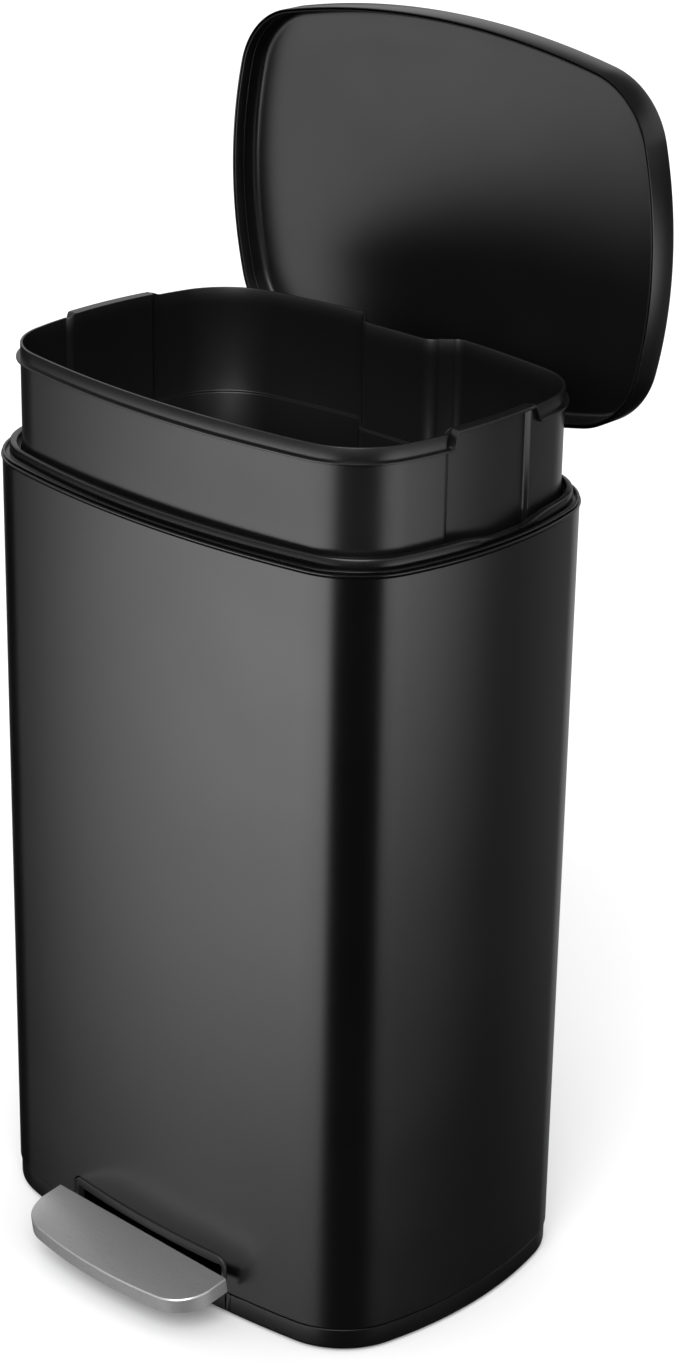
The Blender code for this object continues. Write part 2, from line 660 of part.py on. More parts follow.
def build_rod_foot(finish, can):
    """Moulded foot of the rod: the lever's end pin lifts it through a level slot."""
    foot = box((-0.0055, 0.0055), (ROD_Y - 0.0060, ROD_Y + 0.0054), (FOOT_PIN_Z - 0.0050, FOOT_PIN_Z + 0.0240))
    cut(foot, box((-0.01, 0.01), (ROD_Y - 0.0040, ROD_Y + 0.0040), (FOOT_PIN_Z - 0.0028, FOOT_PIN_Z + 0.0028)))
    cut(foot, rod((0.0, ROD_Y, FOOT_PIN_Z + 0.0200), "Z", 0.0028, 0.0167, 16))
    return place(foot, "rod_foot", finish, can)


def build_damper(finish_body, finish_steel, finish_clamp, can):
    """Soft-close damper: a fixed oil cylinder and a plunger clamped to the push rod."""
    cylinder = rod((DAMPER_X, DAMPER_Y, DAMPER_LOW + DAMPER_LENGTH / 2), "Z", 0.0065, DAMPER_LENGTH, 18)
    bore_low = DAMPER_LOW + 0.0030
    cut(cylinder, rod((DAMPER_X, DAMPER_Y, bore_low + 0.06), "Z", 0.0046, 0.12, 16))
    place(cylinder, "damper_cylinder", finish_body, can)
    piston_z = DAMPER_LOW + 0.0400
    stem = rod((DAMPER_X, DAMPER_Y, (piston_z + ARM_Z) / 2), "Z", 0.0018, ARM_Z - piston_z, 12)
    piston = rod((DAMPER_X, DAMPER_Y, piston_z), "Z", 0.0042, 0.0060, 16)
    place(join(piston, stem), "damper_plunger", finish_steel, can)
    arm = box((-0.0050, DAMPER_X + 0.0050), (DAMPER_Y - 0.0040, ROD_Y + 0.0050), (ARM_Z - 0.0060, ARM_Z + 0.0060))
    cut(arm, rod((0.0, ROD_Y, ARM_Z), "Z", 0.0028, 0.02, 16))
    cut(arm, rod((DAMPER_X, DAMPER_Y, ARM_Z - 0.0070), "Z", 0.0021, 0.0146, 12))
    place(arm, "damper_arm", finish_clamp, can)


# ---------------------------------------------------------------- hinge
def build_hinge_housing(finish, can):
    """Moulded block screwed to the back of the shell, with two lugs for the hinge pin."""
    block = box((-0.0420, 0.0420), (0.1383, 0.1562), (0.5350, 0.5885))
    # the sleeve follows the shell's back face, so the block is cut to that curve
    face = [
        ring_at(outline(BODY_PLAN, -GAP, front_steps=8), 0.50),
        ring_at(outline(BODY_PLAN, -GAP, front_steps=8), 0.60),
    ]
    cut(block, loft(face, closed=False))
    cut(block, box((-NOTCH_HALF + 0.001, NOTCH_HALF - 0.001), (0.12, 0.17), (0.5700, 0.60)))
    for sign in (-1, 1):
        x = sorted((sign * 0.0238, sign * 0.0330))
        lug = hull_plate([(HINGE_Y, HINGE_Z, 0.0062), (0.1500, 0.5850, 0.0060)], x[0], x[1])
        block = join(block, lug)
    cut(block, rod((0.0, HINGE_Y, HINGE_Z), "X", 0.0033, 0.08, 16))
    for x, _ in HOUSING_SCREWS:
        for z, _ in HOUSING_LEVELS:
            cut(block, rod((x, 0.145, z), "Y", 0.0019, 0.03, 10))
            cut(block, rod((x, 0.1590, z), "Y", 0.0042, 0.0120, 14))
    return place(block, "hinge_housing", finish, can)


def build_hinge_pin(finish, can):
    """Steel pin through the housing's lugs and the lid bracket's ears."""
    pin = rod((0.0, HINGE_Y, HINGE_Z), "X", 0.0030, 0.0690, 16)
    head = rod((0.0343, HINGE_Y, HINGE_Z), "X", 0.0046, 0.0014, 16)
    clip = rod((-0.0343, HINGE_Y, HINGE_Z), "X", 0.0046, 0.0010, 16)
    return place(join(pin, head, clip), "hinge_pin", finish, can)


def build_housing_screws(finish, can):
    """Four screws that hold the hinge housing to the shell."""
    for x, side in HOUSING_SCREWS:
        for z, level in HOUSING_LEVELS:
            head = (x, 0.1530 + GAP, z)
            screw(f"housing_screw_{side}_{level}", head, -1, "Y", finish, can, length=0.0130)


def build_lid_hinge_bracket(finish, lid):
    """Stamped bracket: a foot under the lid and two ears with the hinge eye and the crank arm."""
    foot_y = (-0.0355, -0.0185)
    foot_z = (0.0133, 0.0154)
    bracket = box((-0.0225, 0.0225), foot_y, foot_z)
    for sign in (-1, 1):
        x = sorted((sign * 0.0200, sign * 0.0225))
        ear = hull_plate(
            [(0.0, 0.0, 0.0062), (-CRANK_REACH, -CRANK_REACH, 0.0050), (-0.0345, 0.0144, 0.0010)],
            x[0], x[1],
        )
        bracket = join(bracket, ear)
    cut(bracket, rod((0.0, 0.0, 0.0), "X", 0.0033, 0.06, 16))
    cut(bracket, rod((0.0, -CRANK_REACH, -CRANK_REACH), "X", 0.0028, 0.06, 14))
    for x, _ in BRACKET_SCREWS:
        for y, _ in BRACKET_ROWS:
            cut(bracket, rod((x, y, 0.0140), "Z", 0.0019, 0.01, 10))
    return place(bracket, "lid_hinge_bracket", finish, lid)


def build_crank_pin(finish, lid):
    """Pin between the ears that the rod's yoke pushes on."""
    pin = rod((0.0, -CRANK_REACH, -CRANK_REACH), "X", 0.0025, 0.0470, 14)
    return place(pin, "crank_pin", finish, lid)


# ---------------------------------------------------------------- lid
def lid_ring(inset, z, narrow=1.0):
    """One ring of the lid, in the lid's own axes about the hinge line."""
    points = outline(LID_PLAN, inset)
    return [(x * narrow, y * narrow - HINGE_Y, z - HINGE_Z) for x, y in points]


def build_lid_outer(finish, lid):
    """Pressed steel lid skin: a shallow pan with a rounded edge, a low crown and a notch for the ears."""
    top = LID_EDGE + LID_SKIRT
    crown = top + LID_CROWN
    rings = [
        lid_ring(0.0, crown, 0.04), lid_ring(0.0, crown - 0.0008, 0.40), lid_ring(0.0, top + 0.0032, 0.74),
        lid_ring(0.0040, top), lid_ring(0.0012, top - 0.0012), lid_ring(0.0, top - 0.0040),
        lid_ring(0.0, LID_EDGE), lid_ring(0.0008, LID_EDGE), lid_ring(0.0008, top - 0.0044),
        lid_ring(0.0018, top - 0.0020), lid_ring(0.0043, top - 0.0009),
        lid_ring(0.0, top + 0.0023, 0.735), lid_ring(0.0, crown - 0.0017, 0.395),
        lid_ring(0.0, crown - 0.0009, 0.035),
    ]
    skin = loft(rings, closed=False)
    cut(skin, box((-NOTCH_HALF, NOTCH_HALF), (-0.0300, 0.0100), (-0.01, 0.0125)))
    return place(skin, "lid_outer", finish, lid)


def build_lid_liner(finish, lid):
    """Moulded liner inside the lid: a rim wall, a seam line part-way down it and a flat panel."""
    panel = LID_EDGE + 0.0208
    side = 0.0008 + GAP
    rings = [
        lid_ring(0.0, panel + 0.0028, 0.04), lid_ring(0.0, panel + 0.0026, 0.60),
        lid_ring(0.0100, panel + 0.0018), lid_ring(side + 0.0034, panel + 0.0014), lid_ring(side, panel - 0.0020),
        lid_ring(side, LID_EDGE + GAP), lid_ring(side + 0.0017, LID_EDGE + GAP),
        lid_ring(side + 0.0021, panel - 0.0020), lid_ring(side + 0.0058, panel), lid_ring(0.0120, panel + 0.0004),
        lid_ring(0.0, panel + 0.0010, 0.60), lid_ring(0.0, panel + 0.0012, 0.04),
    ]
    liner = loft(rings, closed=False)
    cut(liner, box((-NOTCH_HALF, NOTCH_HALF), (-0.0260, 0.0100), (-0.01, 0.0125)))
    for x, _ in BRACKET_SCREWS:
        for y, _ in BRACKET_ROWS:
            cut(liner, rod((x, y, 0.0170), "Z", 0.0019, 0.0054, 10))
    return place(liner, "lid_liner", finish, lid)


def build_bracket_screws(finish, lid):
    """Four screws from the bracket's foot up into the liner."""
    for x, side in BRACKET_SCREWS:
        for y, row in BRACKET_ROWS:
            screw(f"bracket_screw_{side}_{row}", (x, y, 0.0133 - GAP), 1, "Z", finish, lid, length=0.0045)


# ---------------------------------------------------------------- bucket
def side_panel_depth(y):
    """How far the side wall steps in behind the finger grip, at a distance along the side."""
    low, high, ramp = -0.0400, 0.0450, 0.0050
    rise = min(1.0, max(0.0, (y - low) / ramp))
    fall = min(1.0, max(0.0, (high - y) / ramp))
    return 0.0035 * min(rise, fall)


def bucket_outline():
    """The bucket's outer plan with its stepped grips and the recess that clears the rod channel."""
    points = []
    for x, y in outline(BUCKET_PLAN, 0.0, BUCKET_Y, side_steps=8, corner_steps=6, front_steps=4):
        if y > 0.10 and abs(x) < RECESS_OUTER + 0.006:
            continue
        points.append((x - math.copysign(side_panel_depth(y), x) if abs(x) > 0.16 else x, y))
    wall_y = BUCKET_Y + BUCKET_PLAN[1] - RECESS_OUTER ** 2 / (2 * BUCKET_PLAN[3])
    floor_y = wall_y - RECESS_DEPTH
    mouth_radius = 0.0060
    heel_radius = 0.0050
    mouth = (RECESS_OUTER + 0.0020, wall_y - mouth_radius)
    heel = (RECESS_INNER - 0.0040, floor_y + heel_radius)
    right_half = arc_points(mouth, mouth_radius, math.radians(86), math.radians(160), 4)
    right_half += arc_points(heel, heel_radius, math.radians(-15), -math.pi / 2, 3)
    right_half += [(heel[0], floor_y)]
    recess = right_half + [(-x, y) for x, y in reversed(right_half)]
    start = next(i for i, (x, y) in enumerate(points) if y > 0.10 and x < 0)
    return points[:start] + recess + points[start:]


def build_inner_bucket(finish, bucket):
    """Lift-out plastic bucket: hanging flange below the rim, stepped wall, rear recess, finger grips."""
    plan = bucket_outline()
    floor_z = RIM_Z - BUCKET_HEIGHT
    flange_z = RIM_Z - FLANGE_DROP
    wall = BUCKET_WALL

    def ring(inset, z):
        return ring_at(offset_outline(plan, inset), z)

    rings = [
        ring(0.0100, floor_z), ring(0.0075, floor_z + 0.0030), ring(0.0020, RIM_Z - 0.0860),
        ring(0.0, RIM_Z - 0.0800), ring(0.0, flange_z), ring(-FLANGE_WIDTH, flange_z),
        ring(-FLANGE_WIDTH, flange_z + 0.0016), ring(0.0, flange_z + 0.0016), ring(0.0, RIM_Z),
        ring(wall, RIM_Z), ring(wall, RIM_Z - 0.0790), ring(wall + 0.0020, RIM_Z - 0.0850),
        ring(wall + 0.0075, floor_z + 0.0050), ring(wall + 0.0100, floor_z + 0.0022),
    ]
    body = loft(rings, closed=False)
    for sign in (-1, 1):
        x = sorted((sign * 0.1815, sign * 0.1899))
        lip = box(x, (-0.0300, 0.0360), (RIM_Z + 0.0006, RIM_Z + 0.0026))
        web_x = sorted((sign * 0.1812, sign * 0.1829))
        web = box(web_x, (-0.0300, 0.0360), (RIM_Z - 0.0040, RIM_Z + 0.0020))
        body = join(body, web, lip)
    return place(body, "inner_bucket", finish, bucket)


# ---------------------------------------------------------------- assembly
def main():
    """Clear the scene and build every piece of the can on its own empty."""
    global PARTS, CUTTERS
    for old in list(bpy.data.objects):
        bpy.data.objects.remove(old, do_unlink=True)
    PARTS = bpy.data.collections.new("pedal_trash_can")
    CUTTERS = bpy.data.collections.new("cutters")
    bpy.context.scene.collection.children.link(PARTS)
    bpy.context.scene.collection.children.link(CUTTERS)

    black_steel = material("satin_black_steel", (0.018, 0.018, 0.019), 0.38, 0.4)
    black_plastic = material("black_plastic", (0.022, 0.022, 0.023), 0.50)
    bucket_plastic = material("bucket_plastic", (0.030, 0.030, 0.031), 0.45)
    stainless = material("brushed_stainless", (0.56, 0.56, 0.57), 0.32, 1.0)
    zinc_steel = material("zinc_steel", (0.52, 0.53, 0.55), 0.40, 1.0)
    nylon = material("grey_nylon", (0.25, 0.25, 0.26), 0.55)
    rubber = material("black_rubber", (0.03, 0.03, 0.03), 0.80)

    can = empty("can_centre", (0.0, CAN_Y, 0.0))
    pedal_axis = empty("pedal_axis", (0.0, PIVOT_Y, PIVOT_Z), can, LEVER_SWING / 2)
    lid_axis = empty("lid_axis", (0.0, HINGE_Y, HINGE_Z), can, -LID_OPEN)

    build_outer_shell(black_steel, can)
    build_top_collar(black_plastic, can)
    build_base_skirt(black_plastic, can)
    build_base_pan(black_plastic, can)
    for (x, y), name in zip(FOOT_POINTS, ("front_left", "front_right", "rear_left", "rear_right")):
        build_foot(f"foot_{name}", x, y, rubber, can)
    build_slot_bezel(black_plastic, can)
    build_pivot(zinc_steel, black_steel, can)

    build_pedal_cap(stainless, pedal_axis)
    build_pedal_core(black_plastic, pedal_axis)
    build_pedal_lever(black_steel, pedal_axis)
    build_pedal_screws(zinc_steel, pedal_axis)
    build_lever_end_pin(zinc_steel, pedal_axis)

    build_rod_channel(black_plastic, can)
    build_rod_guide("rod_guide_lower", 0.1600, nylon, can)
    build_rod_guide("rod_guide_upper", 0.5300, nylon, can)
    build_push_rod(zinc_steel, can)
    build_rod_yoke(nylon, can)
    build_rod_foot(nylon, can)
    build_damper(nylon, zinc_steel, black_plastic, can)

    build_hinge_housing(black_plastic, can)
    build_hinge_pin(zinc_steel, can)
    build_housing_screws(zinc_steel, can)
    build_lid_outer(black_steel, lid_axis)
    build_lid_liner(black_plastic, lid_axis)
    build_lid_hinge_bracket(zinc_steel, lid_axis)
    build_crank_pin(zinc_steel, lid_axis)
    build_bracket_screws(zinc_steel, lid_axis)

    build_inner_bucket(bucket_plastic, can)


main()
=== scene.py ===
# %% [markdown]
# # A pedal trash can
#
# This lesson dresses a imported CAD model. The model gives every piece its place and its joints, and this
# script gives the pieces their looks: rounded edges, thin lips, satin paint, moulded plastic, brushed metal.
# The can stands open, as it does when it is emptied: lid up, pedal down, bucket lifted out of its seat.

# %% Load the frame
import json
import math

import bmesh
import bpy
from mathutils import Matrix, Vector

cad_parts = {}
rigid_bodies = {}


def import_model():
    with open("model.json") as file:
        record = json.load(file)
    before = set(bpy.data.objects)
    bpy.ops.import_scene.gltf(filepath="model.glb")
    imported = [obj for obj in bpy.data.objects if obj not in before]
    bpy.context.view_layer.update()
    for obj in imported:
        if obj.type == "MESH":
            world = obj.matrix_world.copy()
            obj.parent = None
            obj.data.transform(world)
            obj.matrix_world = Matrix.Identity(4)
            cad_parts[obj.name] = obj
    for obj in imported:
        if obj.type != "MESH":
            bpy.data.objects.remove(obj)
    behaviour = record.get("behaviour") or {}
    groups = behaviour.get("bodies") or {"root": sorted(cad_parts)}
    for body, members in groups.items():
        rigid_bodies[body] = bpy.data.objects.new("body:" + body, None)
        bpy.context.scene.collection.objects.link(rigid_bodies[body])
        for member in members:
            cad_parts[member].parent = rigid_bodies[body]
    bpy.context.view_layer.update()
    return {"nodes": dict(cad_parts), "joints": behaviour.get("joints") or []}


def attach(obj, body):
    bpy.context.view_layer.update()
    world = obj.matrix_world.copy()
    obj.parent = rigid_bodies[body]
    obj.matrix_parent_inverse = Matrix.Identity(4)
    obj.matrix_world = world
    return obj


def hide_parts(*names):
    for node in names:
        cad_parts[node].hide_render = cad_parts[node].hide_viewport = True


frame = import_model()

# %% [markdown]
# ## Where things turn
# The lid and the pedal are drawn flat and then turned about their own pins, as they are on the real can.
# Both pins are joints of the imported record, so their places are read from it.

# %% Joint places
CAN_Y = 0.01005                      # the body's centre line, a little behind the middle of the footprint
LID_OPEN = math.radians(89.2)
PEDAL_PRESSED = 0.151368 / 2         # the lever swings this far below level
PEDAL_TILT = math.radians(3.2)

joint_place = {joint["name"]: Vector(joint["pos_m"]) for joint in frame["joints"] if "pos_m" in joint}
HINGE = joint_place["lid_hinge"]
PIVOT = joint_place["pedal_press"]
print("lid hinge", tuple(HINGE), "pedal pivot", tuple(PIVOT))

# %% [markdown]
# ## The camera
# A long lens from the front right, a little above the rim. The distance is measured from a point near the
# middle of the can, and the camera is rolled by a degree, as a camera on a tripod often is.

# %% Camera
LOOK_AT = Vector((0.0545, CAN_Y, 0.4463))
AZIMUTH, ELEVATION, ROLL = math.radians(43.4334), math.radians(22.7543), math.radians(0.9982)
DISTANCE, LENS, SIGHT = 2.2138, 83.12, 60

back = Vector((
    math.sin(AZIMUTH) * math.cos(ELEVATION), -math.cos(AZIMUTH) * math.cos(ELEVATION), math.sin(ELEVATION)
))
side = Vector((0, 0, 1)).cross(back).normalized()
rise = back.cross(side)
side, rise = side * math.cos(ROLL) + rise * math.sin(ROLL), rise * math.cos(ROLL) - side * math.sin(ROLL)
camera = bpy.data.objects.new("camera", bpy.data.cameras.new("camera"))
camera.data.lens = LENS
camera.data.clip_end = SIGHT
turn = Matrix((side, rise, back)).transposed().to_4x4()
camera.matrix_world = Matrix.Translation(LOOK_AT + back * DISTANCE) @ turn
bpy.context.scene.collection.objects.link(camera)
bpy.context.scene.camera = camera
print("camera at", tuple(round(value, 3) for value in camera.location))

# %% [markdown]
# ## The floor
# A plain pale floor is enough, because the can stands on nothing else. It is rough and stays out of glossy
# reflections, so the steel shows only the light panels that come next.

# %% Floor
FLOOR_SIZE = 30.0
FLOOR_WHITE = (0.88, 0.88, 0.88, 1)


def make_floor():
    """A plain pale floor, wide enough to fill the frame behind the can."""
    mesh = bpy.data.meshes.new("floor")
    half = FLOOR_SIZE / 2
    mesh.from_pydata([(-half, -half, 0), (half, -half, 0), (half, half, 0), (-half, half, 0)], [], [(0, 1, 2, 3)])
    floor = bpy.data.objects.new("floor", mesh)
    bpy.context.scene.collection.objects.link(floor)
    paint = bpy.data.materials.new("pale_floor")
    paint.use_nodes = True
    shader = paint.node_tree.nodes["Principled BSDF"]
    shader.inputs["Base Color"].default_value = FLOOR_WHITE
    shader.inputs["Roughness"].default_value = 1.0
    shader.inputs["Specular IOR Level"].default_value = 0.0
    mesh.materials.append(paint)
    floor.visible_glossy = False
    return floor


print("floor:", tuple(make_floor().dimensions), "m")

# %% [markdown]
# ## The studio's light
# Black glossy things are drawn by what they reflect, and a vertical wall seen from above reflects what lies
# low around the can. So the sky has two parts. Rough surfaces get an even white light from it. Glossy ones
# see a dark room with two bands of light: a wide one at the front left, which fades to the left and ends
# sharply on the right, and a narrower one on the right. The gap between them makes the dark corner. Two
# faint bands behind the can lift its outer edges off the black, and a ring of light all round, a little above
# the rim, draws the bright line on every edge that is rounded upward.

# %% Sky
SKY_FOR_FLOOR = 0.98                 # light that the open sky gives to rough surfaces
ROOM_LOW, ROOM_HIGH = 0.01, 0.20     # the dark room in reflections, near the floor and overhead
# each panel: brightness, then where it starts, is full, is still full and ends, in azimuth and in elevation
PANELS = (
    (6.1, (-78, -18, 9, 20), (-35, -21, -20, -5)),
    (4.1, (75, 82, 100, 141), (-30, -17, -16, 2)),
    (0.3, (110, 165, 180, 181), (-38, -20, -16, 4)),
    (0.7, (-181, -180, -150, -100), (-38, -20, -16, 4)),
    (0.9, (-181, -180, 180, 181), (0, 14, 26, 46)),
)


def make_sky():
    """An even sky for rough surfaces; a dark room with light panels for glossy ones."""
    world = bpy.data.worlds.new("studio")
    world.use_nodes = True
    tree = world.node_tree
    tree.nodes.clear()

    def math_node(operation, *values):
        node = tree.nodes.new("ShaderNodeMath")
        node.operation = operation
        for socket, value in zip(node.inputs, values):
            if isinstance(value, (int, float)):
                socket.default_value = value
            else:
                tree.links.new(value, socket)
        return node.outputs[0]

    def ramp(value, low, high, to_low=0.0, to_high=1.0):
        node = tree.nodes.new("ShaderNodeMapRange")
        node.interpolation_type = "SMOOTHSTEP"
        tree.links.new(value, node.inputs["Value"])
        for label, number in (("From Min", low), ("From Max", high), ("To Min", to_low), ("To Max", to_high)):
            node.inputs[label].default_value = number
        return node.outputs["Result"]

    place = tree.nodes.new("ShaderNodeTexCoord")
    split = tree.nodes.new("ShaderNodeSeparateXYZ")
    tree.links.new(place.outputs["Generated"], split.inputs[0])
    x, y, z = split.outputs
    azimuth = math_node("DEGREES", math_node("ARCTAN2", x, math_node("MULTIPLY", y, -1.0)))
    elevation = math_node("DEGREES", math_node("ARCSINE", z))
    light = ramp(elevation, 0, 40, ROOM_LOW, ROOM_HIGH)
    for brightness, across, upward in PANELS:
        panel = brightness
        for angle, (start, full, still_full, end) in ((azimuth, across), (elevation, upward)):
            panel = math_node("MULTIPLY", panel, ramp(angle, start, full))
            panel = math_node("MULTIPLY", panel, ramp(angle, still_full, end, 1.0, 0.0))
        light = math_node("ADD", light, panel)

    path = tree.nodes.new("ShaderNodeLightPath")
    even = tree.nodes.new("ShaderNodeBackground")
    room = tree.nodes.new("ShaderNodeBackground")
    pick = tree.nodes.new("ShaderNodeMixShader")
    out = tree.nodes.new("ShaderNodeOutputWorld")
    even.inputs["Color"].default_value = (1, 1, 1, 1)
    even.inputs["Strength"].default_value = SKY_FOR_FLOOR
    tree.links.new(light, room.inputs["Strength"])
    tree.links.new(path.outputs["Is Glossy Ray"], pick.inputs["Fac"])
    tree.links.new(even.outputs[0], pick.inputs[1])
    tree.links.new(room.outputs[0], pick.inputs[2])
    tree.links.new(pick.outputs[0], out.inputs["Surface"])
    if hasattr(world, "cycles"):
        world.cycles.sampling_method = "NONE"      # glossy and rough rays must each see their own sky
    bpy.context.scene.world = world
    return world


print("sky:", make_sky().name, "with", len(PANELS), "light panels")

# %% [markdown]
# ## The lamp
# One broad sun from the front reaches under the pedal and puts the can's soft shadow behind it. A sun's rays
# are parallel, so only its direction matters, and its angle sets how soft the shadow's edge is.

# %% Sun
LAMP_DISTANCE = 4.0


def aim(azimuth, elevation):
    """A lamp's place and its turn towards the can's foot. Azimuth 0 is in front of the can."""
    a, e = math.radians(azimuth), math.radians(elevation)
    away = Vector((math.sin(a) * math.cos(e), -math.cos(a) * math.cos(e), math.sin(e)))
    return Matrix.Translation(away * LAMP_DISTANCE) @ away.to_track_quat("Z", "Y").to_matrix().to_4x4()


def soft_sun(name, azimuth, elevation, width, strength):
    """A distant lamp as wide as a large diffuser."""
    lamp = bpy.data.lights.new(name, "SUN")
    lamp.angle = math.radians(width)
    lamp.energy = strength
    thing = bpy.data.objects.new(name, lamp)
    thing.matrix_world = aim(azimuth, elevation)
    bpy.context.scene.collection.objects.link(thing)


soft_sun("key", 34, 40, 50, 2.3)
bpy.context.scene.view_settings.view_transform = "Standard"

# %% [markdown]
# ## Surface effects shared by the finishes
# Moulded plastic and paint both have a fine grain, and every used surface has faint smears that change how
# rough it is. Each effect is a shader node group, built once. A group puts out only a mask or a height,
# and each finish decides how strongly it shows. Both effects start from the same two nodes, a noise and a
# stretch of its range, so these are helpers.

# %% Node helpers


def node_group(name, inputs, outputs):
    """An empty shader node group with the given sockets."""
    tree = bpy.data.node_groups.new(name, "ShaderNodeTree")
    for label, kind, value in inputs:
        socket = tree.interface.new_socket(label, in_out="INPUT", socket_type=kind)
        if value is not None:
            socket.default_value = value
    for label, kind in outputs:
        tree.interface.new_socket(label, in_out="OUTPUT", socket_type=kind)
    return tree, tree.nodes.new("NodeGroupInput"), tree.nodes.new("NodeGroupOutput")


def noise(tree, vector, scale, detail, roughness=0.5):
    """A noise texture read at a vector; the scale may be a socket or a number."""
    node = tree.nodes.new("ShaderNodeTexNoise")
    tree.links.new(vector, node.inputs["Vector"])
    if isinstance(scale, (int, float)):
        node.inputs["Scale"].default_value = scale
    else:
        tree.links.new(scale, node.inputs["Scale"])
    node.inputs["Detail"].default_value = detail
    node.inputs["Roughness"].default_value = roughness
    return node.outputs["Fac"]


def spread(tree, value, from_low, from_high, to_low, to_high):
    """A value stretched from one range to another."""
    node = tree.nodes.new("ShaderNodeMapRange")
    tree.links.new(value, node.inputs["Value"])
    for label, number in (("From Min", from_low), ("From Max", from_high), ("To Min", to_low), ("To Max", to_high)):
        if isinstance(number, (int, float)):
            node.inputs[label].default_value = number
        else:
            tree.links.new(number, node.inputs[label])
    return node.outputs["Result"]


print("node helpers are ready")

# %% [markdown]
# Grain is small and even. Smears are a hundred times larger, about as wide as a hand.

# %% Grain and smears


def build_grain():
    """Fine pebbled grain, as a height between 0 and 1."""
    tree, given, made = node_group(
        "fine_grain", [("Position", "NodeSocketVector", None), ("Scale", "NodeSocketFloat", 1500.0)],
        [("Height", "NodeSocketFloat")],
    )
    fine = noise(tree, given.outputs["Position"], given.outputs["Scale"], 2.0, 0.6)
    tree.links.new(spread(tree, fine, 0.25, 0.75, 0.0, 1.0), made.inputs["Height"])
    return tree


def build_smears():
    """Large soft smears that vary roughness, between 0 and 1."""
    tree, given, made = node_group(
        "handling_smears", [("Position", "NodeSocketVector", None), ("Scale", "NodeSocketFloat", 9.0)],
        [("Mask", "NodeSocketFloat")],
    )
    large = noise(tree, given.outputs["Position"], given.outputs["Scale"], 4.0, 0.55)
    tree.links.new(spread(tree, large, 0.3, 0.7, 0.0, 1.0), made.inputs["Mask"])
    return tree


GRAIN, SMEARS = build_grain(), build_smears()
print("shader groups:", GRAIN.name, SMEARS.name)

# %% [markdown]
# ## The finishes
# Each finish starts from the Principled shader. Its even numbers sit on the shader's own sockets, and only
# what changes over the surface comes from nodes: colour and roughness from the smears, bump from the grain.

# %% How a finish is made


def new_finish(name, metallic=0.0):
    """A material with its Principled shader and the object's own coordinates."""
    finish = bpy.data.materials.new(name)
    finish.use_nodes = True
    tree = finish.node_tree
    shader = tree.nodes["Principled BSDF"]
    shader.inputs["Metallic"].default_value = metallic
    place = tree.nodes.new("ShaderNodeTexCoord").outputs["Object"]
    return finish, tree, shader, place


def use_group(tree, group, place, scale):
    """Place a shared group in a finish."""
    node = tree.nodes.new("ShaderNodeGroup")
    node.node_tree = group
    tree.links.new(place, node.inputs["Position"])
    node.inputs["Scale"].default_value = scale
    return node.outputs[0]


def blend_colour(tree, mask, dark, light):
    """A colour between two by a mask."""
    node = tree.nodes.new("ShaderNodeMix")
    node.data_type = "RGBA"
    tree.links.new(mask, node.inputs["Factor"])
    node.inputs["A"].default_value = (*dark, 1)
    node.inputs["B"].default_value = (*light, 1)
    return node.outputs["Result"]


def grained(name, dark, light, rough_low, rough_high, grain_scale, grain_depth, metallic=0.0, smear_scale=9.0):
    """A satin finish: two close colours, smeared roughness and a fine grain."""
    finish, tree, shader, place = new_finish(name, metallic)
    mask = use_group(tree, SMEARS, place, smear_scale)
    tree.links.new(blend_colour(tree, mask, dark, light), shader.inputs["Base Color"])
    tree.links.new(spread(tree, mask, 0.0, 1.0, rough_low, rough_high), shader.inputs["Roughness"])
    bump = tree.nodes.new("ShaderNodeBump")
    bump.inputs["Strength"].default_value = 1.0
    bump.inputs["Distance"].default_value = grain_depth
    tree.links.new(use_group(tree, GRAIN, place, grain_scale), bump.inputs["Height"])
    tree.links.new(bump.outputs["Normal"], shader.inputs["Normal"])
    return finish


print("bump, smears and colour come together in one satin finish")

# %% [markdown]
# Glossy black looks black because hardly any light goes into it and comes back: its base colour is almost zero,
# and what is seen is the coat's reflection. The painted steel is the smoothest, the bucket is a little greyer
# and duller, and zinc, nylon and rubber are kept for the works inside.

# %% Painted steel, moulded plastic and plain metals
FINISH = {
    "satin_black_steel": grained(
        "satin_black_steel", (0.0012, 0.0012, 0.0013), (0.0016, 0.0016, 0.0017), 0.22, 0.26, 1600, 0.000010),
    "black_plastic": grained(
        "black_plastic", (0.0014, 0.0014, 0.0015), (0.0019, 0.0019, 0.0020), 0.25, 0.29, 2200, 0.000010),
    "bucket_plastic": grained(
        "bucket_plastic", (0.0036, 0.0036, 0.0038), (0.0044, 0.0044, 0.0046), 0.28, 0.33, 1900, 0.000014),
    "zinc_steel": grained(
        "zinc_steel", (0.40, 0.41, 0.43), (0.56, 0.57, 0.59), 0.28, 0.46, 900, 0.000012, 1.0, 60),
    "grey_nylon": grained(
        "grey_nylon", (0.20, 0.20, 0.205), (0.25, 0.25, 0.255), 0.48, 0.58, 1800, 0.000016),
    "black_rubber": grained(
        "black_rubber", (0.014, 0.014, 0.014), (0.022, 0.022, 0.022), 0.70, 0.85, 1400, 0.000030),
}
print("finishes:", sorted(FINISH))

# %% [markdown]
# ## Brushed stainless
# Brushing leaves long fine scratches along the pedal. A noise stretched hard along X draws them: it lifts the
# bump a little and varies the roughness, so the highlight breaks into lines along the pedal.

# %% Brushed pedal metal
SCRATCH_SCALE = (70.0, 3200.0, 3200.0)
SCRATCH_DEPTH = 0.000006
METAL_SHARE, SCRATCH_SHADE = 0.82, 0.86


